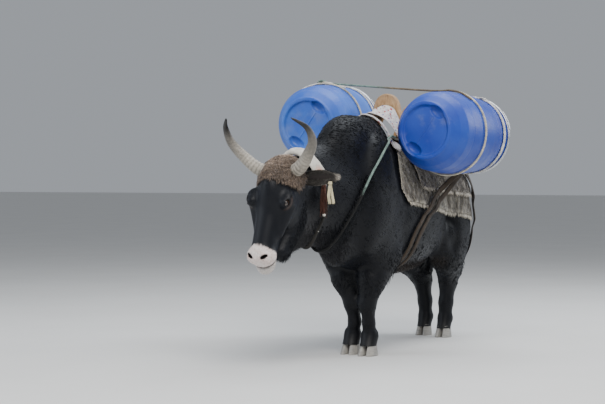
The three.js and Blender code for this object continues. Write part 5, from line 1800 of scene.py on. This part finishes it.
def trunk_table():
    ys = np.linspace(-200, 860, 108)
    angles = np.radians(np.linspace(0, 150, 101))
    y, a = (g.ravel() for g in np.meshgrid(ys, angles, indexing="ij"))
    zero = np.zeros(len(y))
    reach = trunk_reach(np.stack([zero, y, zero + AXIS], 1), np.stack([np.sin(a), zero, np.cos(a)], 1), 480, 22)
    return ys, angles, reach.reshape(len(ys), len(angles))


def rug_points(upper, s, t, table):
    ys, angles, reach = table

    def radius(y, a):
        u = np.clip((y - ys[0]) / (ys[1] - ys[0]), 0, len(ys) - 1.001)
        v = np.clip(np.abs(a) / (angles[1] - angles[0]), 0, len(angles) - 1.001)
        i, j = u.astype(int), v.astype(int)
        u, v = u - i, v - j
        return (
            reach[i, j] * (1 - u) * (1 - v) + reach[i + 1, j] * u * (1 - v)
            + reach[i, j + 1] * (1 - u) * v + reach[i + 1, j + 1] * u * v
        )

    hem_angle = np.empty(len(ys))
    for k, y in enumerate(ys):
        zs = AXIS + reach[k] * np.cos(angles)
        hem_angle[k] = np.interp(-rug_hem(y, upper), -zs, angles)
    y = rug_front(900, upper) * (1 - t) + rug_rear(900, upper) * t
    for _ in range(26):
        a = s * np.interp(y, ys, hem_angle)
        z = AXIS + radius(y, a) * np.cos(a)
        goal = rug_front(z, upper) * (1 - t) + rug_rear(z, upper) * t
        y = y + 0.5 * (goal - y)
    a = s * np.interp(y, ys, hem_angle)
    r = radius(y, a)
    return np.stack([r * np.sin(a), y, AXIS + r * np.cos(a)], 1)


def rug_material(name):
    m = Nodes(name, roughness=0.95, specular=0.1, sheen=0.3)
    pile = m.noise(m.place((420, 420, 110)), 1.0, 5, 0.7)
    clumps = m.noise(m.place((70, 70, 24)), 1.0, 4)
    colour = m.times(m.tint(), m.ramp(pile, (0.3, 0.45), (0.7, 1.35)))
    m.colour(m.times(colour, m.ramp(clumps, (0.3, 0.6), (0.7, 1.25))))
    m.bump(m.math("ADD", m.math("MULTIPLY", pile, 0.5), clumps), 0.8, 0.005)
    return m.material


def stripes(p, seed):
    """Thin dark lines down the pile, from 0 to 1."""
    return np.clip(0.5 + 0.5 * np.sin(p[:, 1] / 4.1 + 3.0 * wobble(p, 160, seed + 6)), 0, 1) ** 2


def make_rug(name, upper, node, base, pale, seed):
    rug = UPPER_RUG if upper else RUG
    base, pale = np.array(base), np.array(pale)
    long, around = finer((140, 122))
    t, s = (g.ravel() for g in np.meshgrid(np.linspace(0, 1, long), np.linspace(-1, 1, around), indexing="ij"))
    p = rug_points(upper, s, t, trunk_table())
    lift, thick, s = rug["lift"] + 2, rug["thick"] - 3.5, np.abs(s)
    low = smoothstep(0.25, 0.95, s)
    fold = wobble(p * (1, 1, 0.22), 52, seed) + 0.7 * np.sin(p[:, 1] / 9.0 + 2.0 * wobble(p, 200, seed + 1))
    wave = (fold * low * 2.6 + wobble(p, 70, seed + 2) * 1.4) * (0.6 if upper else 1.0)
    outer = laid(TRUNK, p, lift + thick * 0.62 + np.clip(wave, -4, 3.6))
    ragged = 5.0 * wobble(p * (1, 1, 0.4), 26, seed + 3) + 2.5 * wobble(p, 9, seed + 4)
    outer[:, 2] += np.abs(ragged) * smoothstep(0.93, 1.0, s) * 0.9
    inner = laid(TRUNK, outer, lift + np.clip(wave * 0.3, -1, 1.5))
    rim = np.maximum(smoothstep(0.97, 1, s), np.maximum(smoothstep(0.03, 0, t), smoothstep(0.97, 1, t)))
    inner = outer + (inner - outer) * (1 - 0.75 * rim)[:, None]
    points, faces = cloth_shell(outer, inner, long, around)
    edge = np.maximum(smoothstep(0.94, 0.99, s), np.maximum(smoothstep(0.035, 0.01, t), smoothstep(0.97, 0.99, t)))
    colour = mixed(base[None], pale, np.clip(0.3 * wobble(p, 110, seed + 5) + 0.15, 0, 0.5))
    colour = mixed(colour, pale, edge * 0.7)
    # Painted shade: darker where the folds sink in; the stripes are lines in the pile
    fold_shade = np.clip(0.5 - 0.32 * wave, 0, 1) * low
    colour = colour * (1 - 0.35 * fold_shade - 0.38 * stripes(p, seed) * low)[:, None]
    # The inner side, against the body, is made darker: painted shade under the rug
    piece = piece_of(name, [(points, faces, points[:, 1])], rug_material(name + "_pile"),
                     np.concatenate([colour, colour * 0.6]), [node])
    rows = outer.reshape(long, around, 3)
    fringe = rug_fringe(name, rows, upper, base, pale, seed)


def rug_fringe(name, rows, upper, base, pale, seed):
    """Loose wool along the hems and the ends, and over the pile."""
    many = finer(1.0)
    draw = np.random.default_rng(seed + 50)
    flat = rows.reshape(-1, 3)

    def spread(line, count):
        k = draw.uniform(0, len(line) - 1.001, count)
        i = k.astype(int)
        return line[i] * (1 - (k - i))[:, None] + line[i + 1] * (k - i)[:, None]

    # places, direction, range of lengths, lift in degrees, and how pale
    hems = (rows[:, 0], rows[:, -1])
    sets = [(spread(line, int(520 * many)), (0, 0.05, -1.0), (12, 30), 4, 1.0) for line in hems]
    sets.append((spread(rows[0], int(600 * many)), (0, -1.0, -0.45), (8, 20), 10, 0.9))
    sets.append((spread(rows[-1], int(500 * many)), (0, 1.0, -0.5), (8, 18), 10, 0.8))
    picks = draw.integers(0, len(flat), int((3600 if upper else 5200) * many))
    sets.append((flat[picks] + draw.normal(size=(len(picks), 3)) * 2, (0, 0.12, -1.0), (9, 20), 16, 0.25))
    at = np.concatenate([k[0] for k in sets])
    lie = np.concatenate([np.tile(k[1], (len(k[0]), 1)) for k in sets]) + draw.normal(size=(len(at), 3)) * 0.22
    length = np.concatenate([draw.uniform(*k[2], len(k[0])) for k in sets])
    lift = np.concatenate([np.full(len(k[0]), k[3]) for k in sets])
    light = np.concatenate([np.full(len(k[0]), k[4]) for k in sets])
    stripe = stripes(at, seed) * (light < 0.5)
    at = laid(TRUNK, at, (19 + 7.4 if upper else 3 + 7.1) + 0.4, 3)
    normal, _ = slope(TRUNK, at)
    lie[:, 1] += smoothstep(0.75, 0.95, normal[:, 2]) * 0.8
    colour = mixed(base[None], pale, light) * (draw.uniform(0.6, 1.5, len(at)) * (1 - 0.5 * stripe))[:, None]
    return tufts(name + "_fringe", at, normal, brushed(lie, normal), length, finer(4.0), lift, 2, colour,
                 WOOLLY, curl=0.35, sink=1.0, seed=seed + 51)


# The patterned cloth behind the hump: the band in front of the rugs, and the bunch up to the front arch
def pattern_material():
    m = Nodes("printed_cloth", roughness=0.9, specular=0.15, sheen=0.15)
    place = m.new("ShaderNodeCombineXYZ")
    for socket, way in zip(place.inputs, ("along", "across")):
        m.link(m.attribute(way).outputs["Fac"], socket)
    vector = place.outputs[0]

    def spots(scale, low, high):
        cells = m.new("ShaderNodeTexVoronoi", feature="F1")
        cells.inputs["Scale"].default_value = scale
        cells.inputs["Randomness"].default_value = 0.75
        m.link(vector, cells.inputs["Vector"])
        return m.ramp(cells.outputs["Distance"], (low, 1.0), (high, 0.0))

    ground = m.ramp(m.noise(vector, 60.0, 4), (0.35, (0.5, 0.47, 0.46)), (0.7, (0.66, 0.64, 0.63)))
    colour = m.mix(spots(52, 0.26, 0.33), ground, (0.38, 0.035, 0.045))
    colour = m.mix(spots(41, 0.2, 0.26), colour, (0.03, 0.07, 0.28))
    colour = m.mix(spots(85, 0.1, 0.16), colour, (0.05, 0.05, 0.06))
    threads = m.noise(m.place((900, 900, 900)), 1.0, 2)
    m.colour(m.times(colour, m.ramp(threads, (0.3, 0.8), (0.7, 1.1))))
    m.bump(threads, 0.3, 0.001)
    return m.material


def make_hump_cloth():
    route = [(122, 46, 1035), (106, 8, 1085), (84, -36, 1140), (55, -82, 1188), (0, -112, 1206)]
    width, folds = 60, 2.2
    strip = strap(bent(both_sides(route), 5), width, 6.5, 10, across=19)
    points, faces, along, across, length = strip
    pleats = across * 1000 / width * 2 * math.pi * folds
    fold = 1.4 * np.sin(pleats + 1.5 * wobble(points, 80, 33)) + wobble(points, 60, 34)
    points = points + slope(TRUNK, points)[0] * (np.clip(fold, -1.5, 2.2))[:, None]
    cloth = piece_of("hump_print", [(points, faces, along)], pattern_material(),
                     nodes=["hump_cloth"], across=across)


def make_saddle_cloth():
    """The bunched part of the printed cloth, from the back of the hump up to the front arch."""
    low = [(120, 66, 1050), (100, 34, 1110), (80, -8, 1160), (50, -48, 1194), (0, -72, 1212)]
    high = [(112, 116, 1090), (94, 118, 1144), (70, 120, 1204), (46, 121, 1242), (0, 122, 1258)]
    count, deep = 150, 54
    low, high = (spline(both_sides(line), 1) for line in (low, high))
    low, high = (line[np.linspace(0, len(line) - 1, count).astype(int)] for line in (low, high))
    v = np.repeat(np.linspace(0, 1, deep), count)
    flat = np.tile(low, (deep, 1)) * (1 - v)[:, None] + np.tile(high, (deep, 1)) * v[:, None]
    puff = np.sin(math.pi * v) * (9 * wobble(flat, 62, 121) + 4 * wobble(flat, 24, 122) - 7)
    grid = (flat + np.array([0, -0.35, 0.94]) * puff[:, None]).reshape(deep, count, 3)
    up = unit(np.cross(np.gradient(grid, axis=1), np.gradient(grid, axis=0))) * 1.2
    points, faces = cloth_shell((grid + up).reshape(-1, 3), (grid - up).reshape(-1, 3), deep, count)
    tall, wide = mean_runs(grid)
    along = np.tile(np.linspace(0, wide, count), 2 * deep) * 1000
    cloth = piece_of("saddle_cloth", [(points, faces, along)], pattern_material(),
                     across=np.tile(v * tall, 2))


# Girths, breeching and breast rope
def girth_line(lead):
    rows = [(0, 0, 410, 0), (120, 2, 440, 0), (196, 34, 580, 25), (226, 134, 700, 52), (252, 250, 790, 58)]
    half = [(x, y + lead * math.cos(math.radians(k)), z - lead * math.sin(math.radians(k))) for x, y, z, k in rows]
    other = [(-x, y + (30 if z > 750 else 0), z) for x, y, z in half[1:]]
    return [(-294, 440 + lead, 940)] + other[::-1] + half + [(318, 372 + lead, 908)]


THIGH = limb((114, 795, 620), (88, 822, 385), (98, 86), 0.78)
HAUNCHES = blended([TRUNK, paired(THIGH), limb((-95, 812, 455), (95, 812, 455), (46, 46))], 40)


def make_straps():
    look = webbing_material("girth_webbing", (0.045, 0.032, 0.022))
    for name, lead in (("front", -24), ("rear", 24)):
        line = bent(girth_line(lead), 5)
        points, faces, along, across, _ = strap(line, 30, 4.5, 9.5, loose=True, waver=0.5, seed=80)
        piece_of(f"girth_strap_{name}", [(points, faces, along)], look, nodes=[f"girth_{name}"],
                 across=across)
    route = [(175, 600, 960), (214, 700, 890), (232, 800, 760), (228, 832, 620), (176, 880, 500), (0, 870, 452)]
    line = bent(both_sides(route), 6)
    points, faces, along, across, _ = strap(line, 56, 5, 10.5, form=HAUNCHES, across=11, seed=81)
    look = webbing_material("breeching_webbing", (0.038, 0.028, 0.02))
    piece_of("breeching_strap", [(points, faces, along)], look, nodes=["breeching"], across=across)


def make_breast_rope(rope_look):
    route = both_sides([(118, 60, 1110), (150, -120, 1090), (175, -284, 1029), (166, -396, 921), (143, -473, 816),
                        (113, -533, 711), (76, -577, 608), (0, -600, 545)])
    line = spline(route, 3)
    y, z = line[:, 1], line[:, 2]
    lift = 15 + 4 * smoothstep(620, 550, z) + 14 * smoothstep(-200, -60, y) + under_gear(line, 80)
    line = laid(TRUNK, line, lift)
    line = spline(line[::6], 3)
    green, dark = np.array(ROPE_GREEN), np.array([0.012, 0.012, 0.012])

    # Painted shade: the rope turns near black as it runs low on the chest, into the shade there
    def soiled_and_shaded(points):
        share = smoothstep(860, 790, points[:, 2] + 20 * wobble(points, 60, 14))
        return mixed(green * (1 + 0.18 * wobble(points, 30, 7))[:, None], dark, share)

    piece_of("breast_line", [tube(line, 6.3, 14, lay=32)], rope_look, soiled_and_shaded, ["breast_rope"])
    draw = np.random.default_rng(98)
    low = line[line[:, 2] < 880]
    count = int(3000 * finer(1.0))
    at = low[draw.integers(0, len(low), count)] + draw.normal(size=(count, 3)) * 5
    at[:, 2] += draw.uniform(4, 26, count)
    at = settled(at, 6)
    normal, _ = slope(skin_form, at)
    colour = coat_colour(at) * draw.uniform(0.65, 1.5, (count, 1))
    tufts("rope_cover", at, normal, coat_lie(at, normal), draw.uniform(34, 52, count), finer(3.2), 52, -12,
          colour, HAIR, rings=2, curl=0.14, seed=99)


# The collar: a folded cloth over the crest, twisted into a cord under the throat, with a row of white beads
COLLAR_LIFT = 20
COLLAR_AT = np.array([-36.0, -693.0, 800.0])
COLLAR_NORMAL = unit(np.array([-0.05, -1.0, -0.45]))
COLLAR_WHITE, COLLAR_STAIN, COLLAR_CORD = np.array([[0.62, 0.59, 0.53], [0.62, 0.25, 0.16], [0.03, 0.028, 0.026]])
STAIN_AT = np.array([45.0, -755.0, 915.0])


def make_collar():
    count, around = 300, 26
    right = np.array([1.0, 0, 0])
    right = unit(right - COLLAR_NORMAL * (right @ COLLAR_NORMAL))
    up = np.cross(COLLAR_NORMAL, right)
    down = unit(np.array([0, -0.1, -1.0]))
    angle = circle(count) + math.pi / 2
    s = np.sin(angle)
    direction = right * np.cos(angle)[:, None] + np.where((s > 0)[:, None], up, down) * np.abs(s)[:, None]
    high = smoothstep(0.4, 0.8, s)
    half = 7 + 29 * high
    thick = 8 + 8 * high
    at = COLLAR_AT + direction * trunk_reach(COLLAR_AT, direction, 400, 24)[:, None]
    c, a = np.cos(circle(around)), np.sin(circle(around))
    across = np.sign(c) * np.abs(c) ** 0.7
    above = 0.5 + 0.5 * np.sign(a) * np.abs(a) ** 0.7
    rows = []
    far = np.linspace(0, 1, count)
    for k, share in zip(across, above):
        p = at + COLLAR_NORMAL * (k * half)[:, None]
        q = laid(TRUNK, p, 7 + (COLLAR_LIFT - 7 + thick - 1 - 4 * k * k * (thick / 16)) * share, 6)
        folds = np.sin(k * 7 + 9 * np.sin(angle * 3) * 0.4 + far * 14) * 1.7 + wobble(q, 34, 91) * 1.2
        rows.append(q + slope(TRUNK, q)[0] * (folds * share * high)[:, None])
    loops = np.stack(rows, 1)
    points = loops.reshape(-1, 3)
    faces = outward(points, [grid_faces(count, around, wrap_rows=True)])
    colour = COLLAR_WHITE * (1 + 0.16 * wobble(points, 45, 92))[:, None]
    gap = np.linalg.norm(points - STAIN_AT, axis=1)
    colour = mixed(colour, COLLAR_STAIN, smoothstep(34, 10, gap + 5 * wobble(points, 20, 93)) * 0.85)
    colour = COLLAR_CORD + (colour - COLLAR_CORD) * smoothstep(0.02, 0.4, np.repeat(high, around))[:, None]
    look = cloth_material("collar_cloth", (1.0, 1.0, 1.0), tinted=True)
    collar = piece_of("collar_wrap", [(points, faces, points[:, 2])], look, colour, ["collar_band"])
    beads = []
    for i in np.flatnonzero(s < -0.9)[::12]:
        centre = loops[i].mean(0)
        beads.append(bead(centre + slope(TRUNK, centre[None])[0][0] * 3.0, 4.6))
    m = Nodes("bead_white", roughness=0.3, specular=0.5)
    m.colour(m.ramp(m.noise(m.place(), 90.0, 3), (0.3, (0.5, 0.47, 0.4)), (0.7, (0.66, 0.63, 0.57))))
    piece_of("collar_beads", beads, m.material)
    return m.material


def bead(centre, radius, squash=0.85, segments=14):
    u, v = np.meshgrid(np.linspace(0, math.pi, 9)[1:-1], circle(segments), indexing="ij")
    points = np.stack([np.sin(u) * np.cos(v), np.sin(u) * np.sin(v), np.cos(u) * squash], -1).reshape(-1, 3)
    points, faces = capped(points * radius + centre, 7, segments, grid_faces(7, segments))
    return points, faces, points[:, 2]


# Yarn tassels on the collar, with a bead, and the ribbon on the near ear
def make_tassel(side, top, seed, rope_look, bead_look):
    name = f"tassel_{side}"
    draw = np.random.default_rng(seed)
    yarn = (0.085, 0.036, 0.026)
    core = [top + np.array([3 * math.sin(u * 4 + seed), 2 * math.cos(u * 3), -2 - 132 * u])
            for u in np.linspace(0, 1, 22)]
    core = spline(core, 3)
    strand = piece_of(f"{name}_core", [tube(core, 5.2, 12, lay=26)], rope_look, mottled(yarn, seed),
                      [f"collar_{name}"])
    wool = []
    for _ in range(26):
        start = top + np.array([draw.uniform(-9, 9), draw.uniform(-5, 5), draw.uniform(-4, 5)])
        end = start + np.array([draw.uniform(-16, 16), draw.uniform(-6, 6), -draw.uniform(95, 150)])
        middle = (start + end) / 2 + draw.normal(size=3) * (4, 2, 6)
        line = spline([start, middle, end], 5)
        wool.append(tube(line, np.linspace(2.3, 1.3, len(line)), 6, lay=14))
    a = circle(40)
    for k in range(3):
        r = 9.5 - 0.5 * k
        ring = top + np.stack([r * np.cos(a), r * 0.75 * np.sin(a), np.full(40, -4.0 * k)], 1)
        wool.append(tube(ring, 2.6, 8, closed=True, lay=12))
    strands = piece_of(f"{name}_strands", wool, rope_look, mottled(yarn, seed + 1, 18, 0.3))
    end = piece_of(f"{name}_bead", [bead(core[-1] + np.array([0, 0, -3.0]), 8.0)], bead_look)
    path = [tuple(p) for p in metres(core)]
    length = float(np.linalg.norm(np.diff(metres(core), axis=0), axis=1).sum())
    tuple(path[0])


def make_ribbon():
    top = from_head(np.array([[222, -104, 34.0]]))[0] + np.array([0, 0, -36])
    share = np.linspace(-1, 1, 11)
    fray = np.where(np.arange(11) % 2, 3.5, -1.0)
    parts, length = [], 0
    for side in (-1, 1):
        route = top + np.array([(0, 0, 2), (side * 4, 1, -28), (side * 8 + 2, -1, -62), (side * 9 + 6, 2, -94)])
        line = spline(route, 2)
        rows = []
        for p, along in zip(line, np.linspace(0, 1, len(line))):
            curl = 1.3 * np.sin(share * 3.2 + along * 5 + side) + 0.6 * np.sin(along * 18)
            drop = fray * smoothstep(0.8, 1, along)
            front = np.stack([p[0] + share * (6 + 1.5 * along), p[1] + side * 1.4 + curl - 0.45, p[2] - drop], 1)
            rows.append(np.concatenate([front, (front + (0, 0.9, 0))[::-1]]))
        points, faces = capped(np.concatenate(rows), len(rows), 22, grid_faces(len(rows), 22))
        parts.append((points, faces, points[:, 2]))
        length += distances(line)[-1]
    look = cloth_material("ribbon_cloth", (0.62, 0.55, 0.36), weave=1200)
    ribbon = piece_of("ribbon_tails", parts, look, nodes=["ear_ribbon"])
    a = circle(60)
    knot = []
    for tilt in (0.3, -0.5):
        ring = top + np.stack([6.5 * np.cos(a), 3.4 * np.sin(a), 4.5 * np.sin(a + tilt) - 1], 1)
        knot.append(tube(ring, 3.2, 10, closed=True))
    tied = piece_of("ribbon_knot", knot, look)


# The tail's hair: long bending locks round its core, narrowing to the tip
def make_tail():
    count = int(2600 * finer(1.0))
    draw = np.random.default_rng(95)
    line = spline([(0, 925, 890), (0, 944, 780), (0, 950, 640), (0, 952, 500)], 4)
    share = draw.uniform(0, 1, count) ** 0.8
    middle = line[(share * (len(line) - 1) * 0.93).astype(int)]
    angle = draw.uniform(0, 2 * math.pi, count)
    swell = np.interp(middle[:, 2], [500, 600, 700, 780, 890], [12, 22, 24, 24, 30])
    out = np.stack([np.cos(angle), np.sin(angle), np.zeros(count)], 1)
    at = middle + out * (swell * 0.8)[:, None]
    lie = np.tile([0.0, 0.02, -1.0], (count, 1)) + draw.normal(size=(count, 3)) * 0.06
    length = np.clip(middle[:, 2] - 318, 60, 260) * draw.uniform(0.5, 0.82, count)
    colour = COAT * draw.uniform(0.7, 1.9, (count, 1))
    tufts("tail_hair", at, out, brushed(lie, out), length, finer(6.6), 11 * draw.uniform(0.4, 1, count), -5,
          colour, HAIR, rings=4, curl=0.1, thick=0.5, sink=3, seed=96)
    line = spline([(0, 944, 780), (0, 950, 640), (0, 952, 400)], 4)
    radius = np.interp(np.linspace(0, 1, len(line)), [0, 0.4, 1], [30, 26, 8])
    piece_of("tail_core", [tube(line, radius, 20)], HAIR, mottled(COAT, 97, 60), ["tail_tassel"])


def make_gear():
    rope_look = tinted_rope("twisted_rope")
    yarn_look = tinted_rope("yarn", 0.95, 0.4)
    make_horns()
    make_hooves()
    make_eyes()
    make_ears()
    make_drums(rope_look)
    make_tie(rope_look)
    make_saddle()
    make_rug("rug_long", False, "rug_lower", (0.17, 0.148, 0.12), (0.52, 0.47, 0.38), 101)
    make_rug("rug_short", True, "rug_upper", (0.14, 0.12, 0.1), (0.44, 0.39, 0.32), 111)
    make_hump_cloth()
    make_saddle_cloth()
    make_straps()
    make_breast_rope(rope_look)
    bead_look = make_collar()
    for side, at, lift, seed in (("left", (74, -752, 848), 44, 3), ("right", (-175, -760, 780), 46, 4)):
        make_tassel(side, laid(TRUNK, [at], lift)[0], seed, yarn_look, bead_look)
    make_ribbon()
    make_tail()


make_gear()
